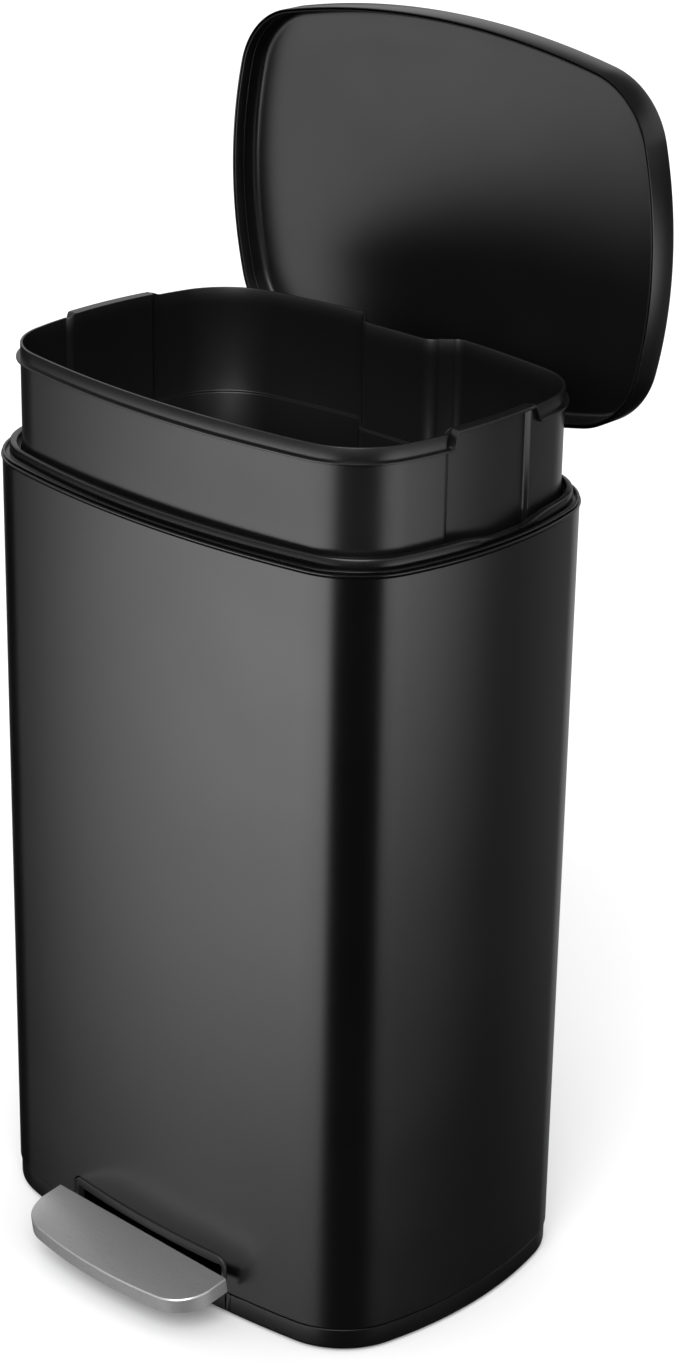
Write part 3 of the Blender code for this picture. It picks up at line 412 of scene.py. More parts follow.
def brushed(name, colour, rough_low, rough_high):
    """Stainless with scratches along X. The wax that fills them keeps a share of the light diffuse."""
    finish, tree, shader, place = new_finish(name, METAL_SHARE)
    stretch = tree.nodes.new("ShaderNodeMapping")
    stretch.inputs["Scale"].default_value = SCRATCH_SCALE
    tree.links.new(place, stretch.inputs["Vector"])
    scratches = noise(tree, stretch.outputs["Vector"], 1.0, 3.0, 0.65)
    dark = tuple(value * SCRATCH_SHADE for value in colour)
    tree.links.new(blend_colour(tree, scratches, dark, colour), shader.inputs["Base Color"])
    tree.links.new(spread(tree, scratches, 0.3, 0.7, rough_low, rough_high), shader.inputs["Roughness"])
    bump = tree.nodes.new("ShaderNodeBump")
    bump.inputs["Strength"].default_value = 1.0
    bump.inputs["Distance"].default_value = SCRATCH_DEPTH
    tree.links.new(scratches, bump.inputs["Height"])
    tree.links.new(bump.outputs["Normal"], shader.inputs["Normal"])
    return finish


FINISH["brushed_stainless"] = brushed("brushed_stainless", (0.64, 0.64, 0.645), 0.26, 0.38)
print("added:", FINISH["brushed_stainless"].name)

# %% [markdown]
# Two mouldings are duller than the rest: the frame round the pedal's slot, which is also greyer, and the
# lid's liner, whose wide panel has a coarser grain to hide marks.

# %% Dull plastics
FINISH["liner_plastic"] = grained(
    "liner_plastic", (0.0014, 0.0014, 0.0015), (0.0019, 0.0019, 0.0020), 0.35, 0.39, 1500, 0.000012)
FINISH["dull_plastic"] = grained(
    "dull_plastic", (0.015, 0.015, 0.0155), (0.020, 0.020, 0.0205), 0.34, 0.42, 2000, 0.000014)
print("finishes now:", len(FINISH))

# %% [markdown]
# ## Dress every CAD piece
# The record says which finish each piece takes. Each one gets the procedural version of it now, and the large
# visible pieces are replaced further down by finer ones.

# %% Finishes on the CAD pieces


def node_slots():
    """The material slot of each CAD node, from the name of the plain material that it was packed with."""
    return {name: thing.data.materials[0].name.split(".")[0] for name, thing in frame["nodes"].items()}


slot_of = node_slots()
for name, thing in frame["nodes"].items():
    finish = FINISH.get(slot_of[name], FINISH["black_plastic"])
    for index in range(len(thing.material_slots)):
        thing.material_slots[index].link = "DATA"
        thing.data.materials[index] = finish
print("slots in use:", sorted(set(slot_of.values())))

# %% [markdown]
# ## The shape of the can seen from above
# Body, lid and bucket share one kind of outline: a rectangle with large corners whose four sides bow outward a
# little. Each bow is an arc, and the corner arcs meet them without a kink. Writing the outline as arcs lets
# every piece be drawn at any inset, so walls keep an even thickness all round.

# %% Outline of arcs
BODY_PLAN = (0.2000, 0.1400, 0.0630, 0.700, 0.260)   # half width, half depth, corner, front bow, side bow
LID_PLAN = (0.1999, 0.1395, 0.0600, 0.633, 0.266)
BUCKET_PLAN = (0.1863, 0.1285, 0.0580, 0.700, 0.280)
BUCKET_Y = 0.0010                                    # the bucket hangs a little behind the middle
SIDE_STEPS, CORNER_STEPS, FRONT_STEPS = 40, 36, 48


def arc_points(centre, radius, start, end, steps):
    """Points along an arc, the last one left out."""
    turn = (end - start) / steps
    return [
        (centre[0] + radius * math.cos(start + turn * i), centre[1] + radius * math.sin(start + turn * i))
        for i in range(steps)
    ]


def bow_crossing(core_w, core_d, bow_front, bow_side):
    """Where the front bow and the side bow meet, by Newton's method from a point near the corner."""
    x, y = core_w * 0.98, core_d * 0.95
    for _ in range(30):
        front = x * x + (y + bow_front - core_d) ** 2 - bow_front ** 2
        beside = (x + bow_side - core_w) ** 2 + y * y - bow_side ** 2
        fx, fy = 2 * x, 2 * (y + bow_front - core_d)
        sx, sy = 2 * (x + bow_side - core_w), 2 * y
        det = fx * sy - fy * sx
        x, y = x - (front * sy - fy * beside) / det, y - (fx * beside - sx * front) / det
    return x, y


def outline(plan, inset=0.0, shift_y=0.0):
    """The bowed rectangle, counter-clockwise, drawn inset from its full size."""
    half_w, half_d, corner, bow_front, bow_side = plan
    core_w, core_d = half_w - corner, half_d - corner
    x, y = bow_crossing(core_w, core_d, bow_front, bow_side)
    radius = corner - inset
    side_angle = math.atan2(y, x + bow_side - core_w)
    front_angle = math.atan2(y + bow_front - core_d, x)
    quarter = arc_points((core_w - bow_side, 0.0), bow_side + radius, 0.0, side_angle, SIDE_STEPS)
    quarter += arc_points((x, y), radius, side_angle, front_angle, CORNER_STEPS)
    quarter += arc_points((0.0, core_d - bow_front), bow_front + radius, front_angle, math.pi / 2, FRONT_STEPS)
    right_half = quarter + [(0.0, core_d + radius)]
    upper = right_half + [(-px, py) for px, py in reversed(quarter)]
    lower = [(px, -py) for px, py in reversed(upper[1:-1])]
    return [(px, py + shift_y) for px, py in upper + lower]


def body_ring(inset, z):
    """The body's outline at a height, in the can's own place."""
    return [(x, y + CAN_Y, z) for x, y in outline(BODY_PLAN, inset)]


print("points round the body:", len(outline(BODY_PLAN)))

# %% [markdown]
# ## Skins from rings
# A loft joins rings of equal length into one skin. A list of (inset, height) pairs is the section of a moulding,
# and each pair is one ring, so rounding an edge only takes a few more pairs.

# %% Skin from rings
CRISP = 35                           # edges sharper than this many degrees stay crisp


def mesh_piece(name, bm, smooth=CRISP):
    """A new object at the origin from a bmesh, normals outward, with smooth faces and crisp edges."""
    bmesh.ops.recalc_face_normals(bm, faces=bm.faces)
    mesh = bpy.data.meshes.new(name)
    bm.to_mesh(mesh)
    bm.free()
    mesh.shade_smooth()
    mesh.set_sharp_from_angle(angle=math.radians(smooth))
    thing = bpy.data.objects.new(name, mesh)
    bpy.context.scene.collection.objects.link(thing)
    return thing


def loft(name, rings, closed, smooth=CRISP):
    """Skin the rings; a closed loft joins the last ring to the first, an open one gets two end caps."""
    bm = bmesh.new()
    loops = [[bm.verts.new(point) for point in ring] for ring in rings]
    pairs = list(zip(loops, loops[1:])) + ([(loops[-1], loops[0])] if closed else [])
    for lower, upper in pairs:
        for i in range(len(lower)):
            bm.faces.new((lower[i - 1], lower[i], upper[i], upper[i - 1]))
    if not closed:
        for loop in (loops[0], loops[-1]):
            edges = [bm.edges.get((loop[i - 1], loop[i])) for i in range(len(loop))]
            bmesh.ops.triangle_fill(bm, edges=edges, use_beauty=True)
    return mesh_piece(name, bm, smooth)


print("a body ring has", len(body_ring(0.0, 0.0)), "points")

# %% [markdown]
# Slots, notches and screw heads are cut with booleans, because a cut crosses the rings at an angle that a loft
# can't follow. The exact solver keeps the result closed, and the modifier is applied at once, so each piece
# stays one plain mesh. A finished piece is then handed over: it gets the finish of its slot, the CAD nodes that
# it stands for are hidden, and it joins the body that it moves with.

# %% Cut and hand over


def block(x, y, z):
    """A plain box used only to cut with."""
    bm = bmesh.new()
    size = Vector((x[1] - x[0], y[1] - y[0], z[1] - z[0]))
    middle = Vector((x[0] + x[1], y[0] + y[1], z[0] + z[1])) / 2
    bmesh.ops.create_cube(bm, size=1.0, matrix=Matrix.Translation(middle) @ Matrix.Diagonal((*size, 1.0)))
    return mesh_piece("cutter", bm)


def plain_mesh(thing):
    """Apply a piece's modifiers by keeping its evaluated mesh."""
    bpy.context.view_layer.update()
    mesh = bpy.data.meshes.new_from_object(thing.evaluated_get(bpy.context.evaluated_depsgraph_get()))
    thing.modifiers.clear()
    thing.data = mesh
    return thing


def cut(thing, *cutters, smooth=CRISP):
    """Take the cutters away from a piece."""
    for cutter in cutters:
        step = thing.modifiers.new("cut", "BOOLEAN")
        step.operation, step.solver, step.object = "DIFFERENCE", "EXACT", cutter
        plain_mesh(thing)
        bpy.data.objects.remove(cutter)
    thing.data.shade_smooth()
    thing.data.set_sharp_from_angle(angle=math.radians(smooth))
    return thing


def hand_over(thing, slot, body, *nodes, finish=None):
    """Finish a piece: the material of its slot, the body it belongs to, and hiding the CAD nodes it stands for."""
    thing.data.materials.clear()
    thing.data.materials.append(FINISH[finish or slot])
    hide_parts(*nodes)
    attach(thing, body)
    print(f"{thing.name}: {sum(len(face.vertices) - 2 for face in thing.data.polygons)} triangles")


# %% [markdown]
# ## The outer sleeve
# The body is one sheet of 0.8 mm steel, wrapped and welded, with a small bead rolled into its top edge.
# Its whole shape follows one rule: a short section carried round the outline. Geometry Nodes do just that with
# Curve to Mesh, so the section can be changed without redrawing the sleeve.

# %% Sweep a section round the body with Geometry Nodes


def sweep_tree(material):
    """Curve to Mesh: the outline is this object's edges, and the section is another object's edges."""
    tree = bpy.data.node_groups.new("sweep_" + material.name, "GeometryNodeTree")
    tree.interface.new_socket("Outline", in_out="INPUT", socket_type="NodeSocketGeometry")
    tree.interface.new_socket("Section", in_out="INPUT", socket_type="NodeSocketObject")
    tree.interface.new_socket("Skin", in_out="OUTPUT", socket_type="NodeSocketGeometry")
    add = tree.nodes.new
    given, made = add("NodeGroupInput"), add("NodeGroupOutput")
    path, section = add("GeometryNodeMeshToCurve"), add("GeometryNodeMeshToCurve")
    info, upright = add("GeometryNodeObjectInfo"), add("GeometryNodeSetCurveNormal")
    sweep, real = add("GeometryNodeCurveToMesh"), add("GeometryNodeRealizeInstances")
    paint = add("GeometryNodeSetMaterial")
    upright.mode = "Z_UP"
    paint.inputs["Material"].default_value = material
    join = tree.links.new
    join(given.outputs["Outline"], path.inputs["Mesh"])
    join(path.outputs["Curve"], upright.inputs["Curve"])
    join(given.outputs["Section"], info.inputs["Object"])
    join(info.outputs["Geometry"], section.inputs["Mesh"])
    join(upright.outputs["Curve"], sweep.inputs["Curve"])
    join(section.outputs["Curve"], sweep.inputs["Profile Curve"])
    join(sweep.outputs["Mesh"], real.inputs["Geometry"])
    join(real.outputs["Geometry"], paint.inputs["Geometry"])
    join(paint.outputs["Geometry"], made.inputs["Skin"])
    return tree


def wire(name, points):
    """A closed chain of edges."""
    mesh = bpy.data.meshes.new(name)
    count = len(points)
    mesh.from_pydata(points, [(i, (i + 1) % count) for i in range(count)], [])
    thing = bpy.data.objects.new(name, mesh)
    bpy.context.scene.collection.objects.link(thing)
    return thing


def sweep_round_body(name, section, slot):
    """Carry a section of (inset, height) pairs round the body's outline and keep it as a plain mesh."""
    path = wire(name, [(x, y + CAN_Y, 0.0) for x, y in outline(BODY_PLAN)])
    profile = wire(name + "_section", [(-inset, -z, 0.0) for inset, z in section])   # the sweep turns Y downward
    tree = sweep_tree(FINISH[slot])
    sweep = path.modifiers.new("sweep", "NODES")
    sweep.node_group = tree
    key = next(item.identifier for item in tree.interface.items_tree if item.name == "Section")
    sweep[key] = profile
    plain_mesh(path)
    bpy.data.objects.remove(profile)
    bm = bmesh.new()
    bm.from_mesh(path.data)
    bmesh.ops.remove_doubles(bm, verts=bm.verts, dist=1e-7)
    bmesh.ops.recalc_face_normals(bm, faces=bm.faces)
    bm.to_mesh(path.data)
    bm.free()
    path.data.shade_smooth()
    path.data.set_sharp_from_angle(angle=math.radians(CRISP))
    low = [min(vertex.co[axis] for vertex in path.data.vertices) for axis in range(3)]
    high = [max(vertex.co[axis] for vertex in path.data.vertices) for axis in range(3)]
    print(name, "spans", [round(1000 * (b - a), 1) for a, b in zip(low, high)], "mm")
    return path


# %% [markdown]
# The section goes up the outside, over the bead and down the inside. Two close rings at each end and a few
# between keep the long wall's shading flat.

# %% The sleeve's section
SLEEVE_BOTTOM, SLEEVE_TOP, SLEEVE_WALL = 0.0197, 0.5891, 0.0008

flat_heights = [SLEEVE_BOTTOM + 0.0009, 0.0300, 0.0560, 0.0600] + [0.1000 + 0.0800 * i for i in range(6)] + [0.5800]
sleeve_section = [(0.0004, SLEEVE_BOTTOM), (0.0001, SLEEVE_BOTTOM + 0.0002), (0.0, SLEEVE_BOTTOM + 0.0006)]
sleeve_section += [(0.0, z) for z in flat_heights] + [
    (0.0, SLEEVE_TOP - 0.0034), (0.0, SLEEVE_TOP - 0.0030), (-0.0002, SLEEVE_TOP - 0.0025),
    (-0.0006, SLEEVE_TOP - 0.0021), (-0.0009, SLEEVE_TOP - 0.0014), (-0.0008, SLEEVE_TOP - 0.0007),
    (-0.0003, SLEEVE_TOP - 0.0002), (0.0002, SLEEVE_TOP), (SLEEVE_WALL, SLEEVE_TOP), (SLEEVE_WALL, SLEEVE_BOTTOM),
]
print("points in the sleeve's section:", len(sleeve_section))

# %% [markdown]
# The pedal's slot is punched through the front of the sleeve, with small rounded upper corners, and a notch
# at the back lets the lid's hinge ears pass. The slot is cut a little larger than its frame, so that a fine
# dark line shows between the steel and the frame.

# %% Outer sleeve
SLOT_HALF, SLOT_TOP, SLOT_LIP = 0.0790, 0.0462, 0.0017
SLOT_CORNER = 0.0090
NOTCH_HALF = 0.0245


def arch(half, top, corner, low=0.0100, steps=10):
    """The slot's outline in X and Z, open at its foot, from the right foot to the left one."""
    points = [(half, low)]
    points += arc_points((half - corner, top - corner), corner, 0.0, math.pi / 2, steps)
    points += arc_points((-half + corner, top - corner), corner, math.pi / 2, math.pi, steps)
    return points + [(-half, top - corner), (-half, low)]


def arch_block(half, top, corner):
    """The slot's outline pushed through the front wall."""
    points, ahead_and_behind = arch(half, top, corner), (-0.170, -0.095)
    return loft("cutter", [[(x, y + CAN_Y, z) for x, z in points] for y in ahead_and_behind], closed=False)


sleeve = sweep_round_body("sleeve", sleeve_section, "satin_black_steel")
slot_edge = SLOT_LIP + 0.0010
cut(
    sleeve,
    arch_block(SLOT_HALF + slot_edge, SLOT_TOP + slot_edge, SLOT_CORNER),
    block((-NOTCH_HALF, NOTCH_HALF), (0.12 + CAN_Y, 0.16 + CAN_Y), (0.5730, 0.60)),
)
hand_over(sleeve, "satin_black_steel", "can", "outer_shell")

# %% [markdown]
# ## The base ring
# Below the sleeve a moulded ring takes the knocks. It stands 1 mm inside the steel, so a fine dark line runs
# round the can above it, and its foot is rounded. A short sunk tab and a seam on each side of the pedal show
# where the ring's front cover clips in.

# %% Base ring
GAP = 0.0003                         # what touching pieces keep between them
RING_TOP, PAN_BOTTOM = 0.0183, 0.0048
TAB_START, TAB_END, SEAM_END = SLOT_HALF, 0.0836, 0.0844
TAB_BACK, SEAM_BACK = -0.1339 + CAN_Y, -0.1328 + CAN_Y
base_section = [
    (0.0012, RING_TOP), (0.0010, RING_TOP - 0.0002), (0.0010, 0.0048), (0.0012, 0.0036), (0.0018, 0.0026),
    (0.0027, 0.0019), (0.0040, 0.0015), (0.0120, 0.0015), (0.0120, PAN_BOTTOM - GAP), (0.0032, PAN_BOTTOM - GAP),
    (0.0032, 0.0320), (0.0013, 0.0320), (0.0013, 0.0209), (0.0025, 0.0206), (0.0025, RING_TOP + 0.0003),
    (0.0022, RING_TOP),
]
base_ring = sweep_round_body("base_ring", base_section, "black_plastic")
seams = []
for hand in (-1, 1):
    for start, end, back_y in ((TAB_START, TAB_END, TAB_BACK), (TAB_END, SEAM_END, SEAM_BACK)):
        across = sorted((hand * start, hand * end))
        seams.append(block(across, (-0.160 + CAN_Y, back_y), (0.0005, 0.0190)))
cut(
    base_ring,
    block((-SLOT_HALF - 0.006, SLOT_HALF + 0.006), (-0.16 + CAN_Y, -0.10 + CAN_Y), (RING_TOP - 0.0005, 0.05)),
    *seams,
)
hand_over(base_ring, "black_plastic", "can", "base_skirt")

# %% [markdown]
# ## The slot's frame
# A moulded frame lines the slot. A round lip stands 1.3 mm proud of the steel, and a flat band inside it comes
# down far enough to hide the works behind; the band is wide along the top and narrow at the sides. The section
# is carried along the slot's edge, and each point is set back by the bow of the front, so the frame hugs the
# curved steel.

# %% Slot frame
FRAME_DEPTH, FRAME_CORNER = 0.0060, 0.0070
BAND_AT_SIDES = 0.35                 # the band's width at the sides, as a share of its width at the top
frame_section = [                    # (away from the opening, proud of the steel)
    (-0.0066, -FRAME_DEPTH), (-0.0066, -0.0008), (-0.0064, -0.0003), (-0.0060, 0.0000), (0.0002, 0.0001),
    (0.0004, 0.0006), (0.0006, 0.0011), (0.0009, 0.0013), (0.0012, 0.0013), (0.0015, 0.0011), (0.0017, 0.0006),
    (0.0017, -FRAME_DEPTH),
]


def front_wall_y(x):
    """How far forward the steel's front is at a distance from its middle."""
    half_d, corner, bow = BODY_PLAN[1], BODY_PLAN[2], BODY_PLAN[3]
    radius = bow + corner
    centre = half_d - radius
    return -(centre + math.sqrt(radius * radius - x * x)) + CAN_Y


def frame_path():
    """Points along the slot's edge with the direction away from the opening."""
    half, top, corner = SLOT_HALF, SLOT_TOP, FRAME_CORNER
    path = [((half, z), (1, 0)) for z in (0.0193, 0.030)]
    for i in range(13):
        a = math.pi / 2 * i / 12
        direction = (math.cos(a), math.sin(a))
        path.append(((half - corner + corner * direction[0], top - corner + corner * direction[1]), direction))
    span = half - corner
    path += [((span * (1 - i / 20), top), (0, 1)) for i in range(1, 20)]
    left = [((-x, z), (-dx, dz)) for (x, z), (dx, dz) in reversed(path)]
    return path + [((0.0, top), (0, 1))] + left


def frame_ring(place, away):
    """The frame's section at one point of the slot's edge."""
    ring = []
    for out, proud in frame_section:
        if out < 0:
            out *= BAND_AT_SIDES + (1 - BAND_AT_SIDES) * away[1]
        x = place[0] + away[0] * out
        ring.append((x, front_wall_y(x) - proud, place[1] + away[1] * out))
    return ring


slot_frame = loft("slot_frame", [frame_ring(place, away) for place, away in frame_path()], closed=False)
hand_over(slot_frame, "black_plastic", "can", "slot_bezel", finish="dull_plastic")

# %% [markdown]
# ## The collar
# A moulded ring presses onto the sleeve's top edge. Outside it shows a thin bead between two grooves: the
# lower one parts it from the steel, and the upper one is the channel that the lid's edge comes down over.
# Inside that a rounded ridge stands up round the mouth, and the bucket's flange rests in a rebate behind it.
# The section follows three outlines: the bucket's inside the ridge, the lid's outside it, and the body's at the
# steel.

# %% The collar's outlines
COLLAR_STEP, RIDGE_TOP, COLLAR_LEDGE, COLLAR_BOTTOM = 0.5915, 0.5980, 0.5922, 0.5720
CHANNEL_FLOOR = 0.5893


def ease(value):
    """A smooth step from 0 to 1."""
    value = min(1.0, max(0.0, value))
    return value * value * (3 - 2 * value)


def mouth_ring(clearance, z):
    """The bucket's outline, opened by a clearance, at a height."""
    return [(x, y + CAN_Y, z) for x, y in outline(BUCKET_PLAN, -clearance, BUCKET_Y)]


def ridge_ring(inset, z):
    """The lid's outline at a height, because the ridge keeps an even distance from the lid's wall."""
    return [(x, y + CAN_Y, z) for x, y in outline(LID_PLAN, inset)]


def rounded(ring, distance, more, z):
    """A ring moved by a little more than its distance, but hardly so at the back, where the ridge is thin."""
    near, far = ring(distance, z), ring(distance + more, z)
    return [tuple(Vector(a).lerp(Vector(b), 1 - 0.85 * ease((a[1] - 0.06) / 0.05))) for a, b in zip(near, far)]


print("the ridge stands", round(1000 * (RIDGE_TOP - COLLAR_LEDGE), 1), "mm above the ledge")

# %% [markdown]
# Two finger scoops dip in the ridge on the left and right. They are a move of the points and not a cut, so the
# ridge keeps its round top all along the dip.

# %% Collar
SCOOP_MIDDLE, SCOOP_HALF, SCOOP_DEPTH = 0.012, 0.050, 0.0050
SIDE_WALL = 0.15                     # points further out than this are on the left or the right
collar_rings = [
    mouth_ring(0.0012, 0.5820), mouth_ring(0.0012, COLLAR_LEDGE), mouth_ring(0.0033, COLLAR_LEDGE),
    mouth_ring(0.0033, RIDGE_TOP - 0.0013), rounded(mouth_ring, 0.0033, 0.0003, RIDGE_TOP - 0.0006),
    rounded(mouth_ring, 0.0034, 0.0006, RIDGE_TOP - 0.0002), rounded(mouth_ring, 0.0035, 0.0011, RIDGE_TOP),
    rounded(ridge_ring, 0.0052, 0.0012, RIDGE_TOP), rounded(ridge_ring, 0.0050, 0.0006, RIDGE_TOP - 0.0002),
    rounded(ridge_ring, 0.0048, 0.0003, RIDGE_TOP - 0.0007), ridge_ring(0.0047, RIDGE_TOP - 0.0015),
    ridge_ring(0.0047, CHANNEL_FLOOR + 0.0003), ridge_ring(0.0044, CHANNEL_FLOOR),
    body_ring(0.0026, CHANNEL_FLOOR), body_ring(0.0024, CHANNEL_FLOOR + 0.0002),
    body_ring(0.0023, COLLAR_STEP - 0.0004), body_ring(0.0018, COLLAR_STEP), body_ring(0.0009, COLLAR_STEP),
    body_ring(0.0003, COLLAR_STEP - 0.0003), body_ring(0.0001, COLLAR_STEP - 0.0006),
    body_ring(0.0003, COLLAR_STEP - 0.0009), body_ring(0.0009, COLLAR_STEP - 0.0011),
    body_ring(0.0019, COLLAR_STEP - 0.0012), body_ring(0.0019, SLEEVE_TOP - 0.0002),
    body_ring(0.0013, SLEEVE_TOP - 0.0005), body_ring(0.0013, COLLAR_BOTTOM), body_ring(0.0030, COLLAR_BOTTOM),
    body_ring(0.0030, 0.5880), mouth_ring(0.0028, 0.5880), mouth_ring(0.0028, 0.5820),
]


def scoop(x, y, z):
    """Sink the ridge on both sides in a long smooth dip."""
    reach = abs(y - CAN_Y - SCOOP_MIDDLE) / SCOOP_HALF
    if abs(x) < SIDE_WALL or reach >= 1 or z <= COLLAR_LEDGE:
        return (x, y, z)
    dip = SCOOP_DEPTH * 0.5 * (1 + math.cos(math.pi * reach))
    share = (z - COLLAR_LEDGE) / (RIDGE_TOP - COLLAR_LEDGE)
    return (x, y, z - dip * share)


collar = loft("collar", [[scoop(*point) for point in ring] for ring in collar_rings], closed=True)
cut(collar, block((-NOTCH_HALF, NOTCH_HALF), (0.118 + CAN_Y, 0.16 + CAN_Y), (0.56, 0.61)))
hand_over(collar, "black_plastic", "can", "top_collar")

# %% [markdown]
# ## The pedal
# The pedal is a stainless tray turned upside down over a plastic core. Seen from above it is a D: straight at
# the back, bowed at the front, with round corners. A narrow bevel runs round its top edge, and it is the
# brightest line on the whole can, so it gets its own three rings. The tray is drawn flat in the lever's own
# axes, tilted a little on the lever, and then turned down about the pivot pin.

# %% Pedal cap
CAP_TOP, CAP_DEPTH, CAP_WALL, CAP_BEVEL = 0.0134, 0.0122, 0.0010, 0.0009
PEDAL_HALF, PEDAL_BACK, PEDAL_FRONT, PEDAL_CORNER, PEDAL_BOW = 0.0890, -0.0628, -0.1128, 0.0300, 0.3800


def pedal_outline(inset=0.0):
    """The pedal's D seen from above, in the lever's own axes."""
    radius = PEDAL_CORNER - inset
    core_w = PEDAL_HALF - PEDAL_CORNER
    front_centre = PEDAL_FRONT + PEDAL_CORNER + PEDAL_BOW
    corner_y = front_centre - math.sqrt(PEDAL_BOW ** 2 - core_w ** 2)
    bow_angle = math.asin(core_w / PEDAL_BOW)
    start, end = -math.pi / 2 - bow_angle, -math.pi / 2 + bow_angle
    edge_x, middle_y = PEDAL_HALF - inset, PEDAL_BACK * 0.5 + corner_y * 0.5
    points = [(-edge_x, PEDAL_BACK), (-edge_x, middle_y)]
    points += arc_points((-core_w, corner_y), radius, -math.pi, start, 24)
    points += arc_points((0.0, front_centre), PEDAL_BOW + radius, start, end, 40)
    points += arc_points((core_w, corner_y), radius, end, 0.0, 24)
    return points + [(core_w + radius, corner_y), (edge_x, middle_y), (edge_x, PEDAL_BACK)]


def pedal_place():
    """From the pedal's flat drawing to its pressed place on the can."""
    heel = Vector((0.0, -0.060, 0.0134))
    tilt = Matrix.Translation(heel) @ Matrix.Rotation(PEDAL_TILT, 4, "X") @ Matrix.Translation(-heel)
    return Matrix.Translation(PIVOT) @ Matrix.Rotation(PEDAL_PRESSED, 4, "X") @ tilt


def pedal_ring(inset, z):
    """The pedal's outline at a height."""
    return [(x, y, z) for x, y in pedal_outline(inset)]


cap = loft("pedal_tray", [
    pedal_ring(0.0003, CAP_TOP - CAP_DEPTH), pedal_ring(0.0, CAP_TOP - CAP_DEPTH + 0.0003),
    pedal_ring(0.0, CAP_TOP - CAP_BEVEL - 0.0002), pedal_ring(0.0002, CAP_TOP - CAP_BEVEL + 0.0001),
    pedal_ring(CAP_BEVEL - 0.0002, CAP_TOP - 0.0001), pedal_ring(CAP_BEVEL + 0.0002, CAP_TOP),
], closed=False, smooth=24)
inner = [(x, y + (0.01 if y > PEDAL_BACK - 0.0002 else 0.0)) for x, y in pedal_outline(CAP_WALL)]   # open at its back
hollow = loft("cutter", [
    [(x, y, CAP_TOP - 0.02) for x, y in inner], [(x, y, CAP_TOP - CAP_WALL) for x, y in inner]
], closed=False)
cut(cap, hollow, smooth=24)
cap.data.transform(pedal_place())
hand_over(cap, "brushed_stainless", "pedal", "pedal_cap")

# %% [markdown]
# ## The lift-out bucket
# The bucket is one moulding with thin walls. Below its rim a flange runs all round, which rests in the collar
# when the bucket is down. On the left and right the flange climbs up to the rim and becomes a lip for the
# fingers, and the wall below steps in. At the back a recess clears the can's push rod. All of it is one loft:
# each ring's height is a function of the place along the side.

# %% Stepped sides
PANEL_FRONT, PANEL_REAR, PANEL_RAMPS, PANEL_DEPTH = -0.0405, 0.0423, (0.0045, 0.0018), 0.0035
GRIP_SIDE = 0.16                     # points further out than this are on the left or the right wall
SIDE_REACH = 0.060                   # how far the extra points go from the middle of a side


def window(y, low, high, low_ramp, high_ramp):
    """1 between low and high, 0 outside, smooth over the two ramps."""
    return min(ease((y - low) / low_ramp), ease((high - y) / high_ramp))


def panel_step(x, y):
    """How far the wall below a grip stands back at a place on the side."""
    return PANEL_DEPTH * window(y, PANEL_FRONT, PANEL_REAR, *PANEL_RAMPS) if abs(x) > GRIP_SIDE else 0.0


def side_points():
    """Extra points along both sides, so that the ramps of grips and panels are sharp."""
    points = []
    half_w, corner, bow_side = BUCKET_PLAN[0], BUCKET_PLAN[2], BUCKET_PLAN[4]
    radius = bow_side + corner
    for i in range(121):
        y = -SIDE_REACH + 2 * SIDE_REACH * i / 120
        points.append((half_w - radius + math.sqrt(radius ** 2 - y ** 2), y + BUCKET_Y))
    return points


print("extra points on each side:", len(side_points()))

# %% [markdown]
# The recess at the back has a round mouth and a round heel on each side, and a flat wall between them. It takes
# the place of the points that the plain outline has there, and the stepped sides take the place of the plain
# ones. The outline starts in the middle of the right side and runs counter-clockwise.

# %% Bucket outline
RECESS_OUTER, RECESS_INNER, RECESS_DEPTH, RECESS_RADIUS = 0.0480, 0.0300, 0.0180, 0.0090


def rear_recess():
    """The recess's outline, from right to left."""
    wall_y = BUCKET_Y + BUCKET_PLAN[1] - RECESS_OUTER ** 2 / (2 * BUCKET_PLAN[3])
    floor_y = wall_y - RECESS_DEPTH
    mouth = (RECESS_OUTER + 0.0020, wall_y - RECESS_RADIUS)
    heel = (RECESS_INNER - 0.0040, floor_y + RECESS_RADIUS)
    half = arc_points(mouth, RECESS_RADIUS, math.radians(86), math.radians(160), 14)
    half += arc_points(heel, RECESS_RADIUS, math.radians(-15), -math.pi / 2, 10)
    half += [(heel[0] * (1 - i / 8), floor_y) for i in range(8)]
    return half + [(0.0, floor_y)] + [(-x, y) for x, y in reversed(half)]


def bucket_outline():
    """The bucket's outer plan with its stepped sides and rear recess, counter-clockwise."""
    plain = [
        (x, y) for x, y in outline(BUCKET_PLAN, 0.0, BUCKET_Y)
        if abs(y - BUCKET_Y) > SIDE_REACH + 0.0005 or abs(x) < SIDE_WALL
    ]
    rear = [(x, y) for x, y in plain if y > 0 and not (y > 0.10 and abs(x) < RECESS_OUTER + 0.006)]
    front = [(x, y) for x, y in plain if y <= 0]
    right = side_points()
    left = [(-x, y) for x, y in reversed(right)]
    middle = next(i for i, (x, y) in enumerate(rear) if x < 0)
    loop = right[60:] + rear[:middle] + rear_recess() + rear[middle:] + left + front + right[:60]
    return [(x - math.copysign(panel_step(x, y), x), y) for x, y in loop]


def moved_in(points, inset):
    """The outline moved inward by the same distance all round."""
    moved, count = [], len(points)
    for i in range(count):
        before, here, after = Vector(points[i - 1]), Vector(points[i]), Vector(points[(i + 1) % count])
        into, out = (here - before).normalized(), (after - here).normalized()
        mean = (into + out).normalized()
        moved.append(here + Vector((-mean.y, mean.x)) * (inset / max(0.5, mean.dot(into))))
    return moved


bucket_plan = bucket_outline()
print("points round the bucket:", len(bucket_plan))

# %% [markdown]
# Near the grips the rings of the flange and of the rim are lifted by the same smooth window, so the flange
# hooks up to the lip at a slant.

# %% One ring of the bucket
GRIP_FRONT, GRIP_REAR, GRIP_RAMPS = -0.0385, 0.0515, (0.0060, 0.0085)   # along Y, where the flange climbs


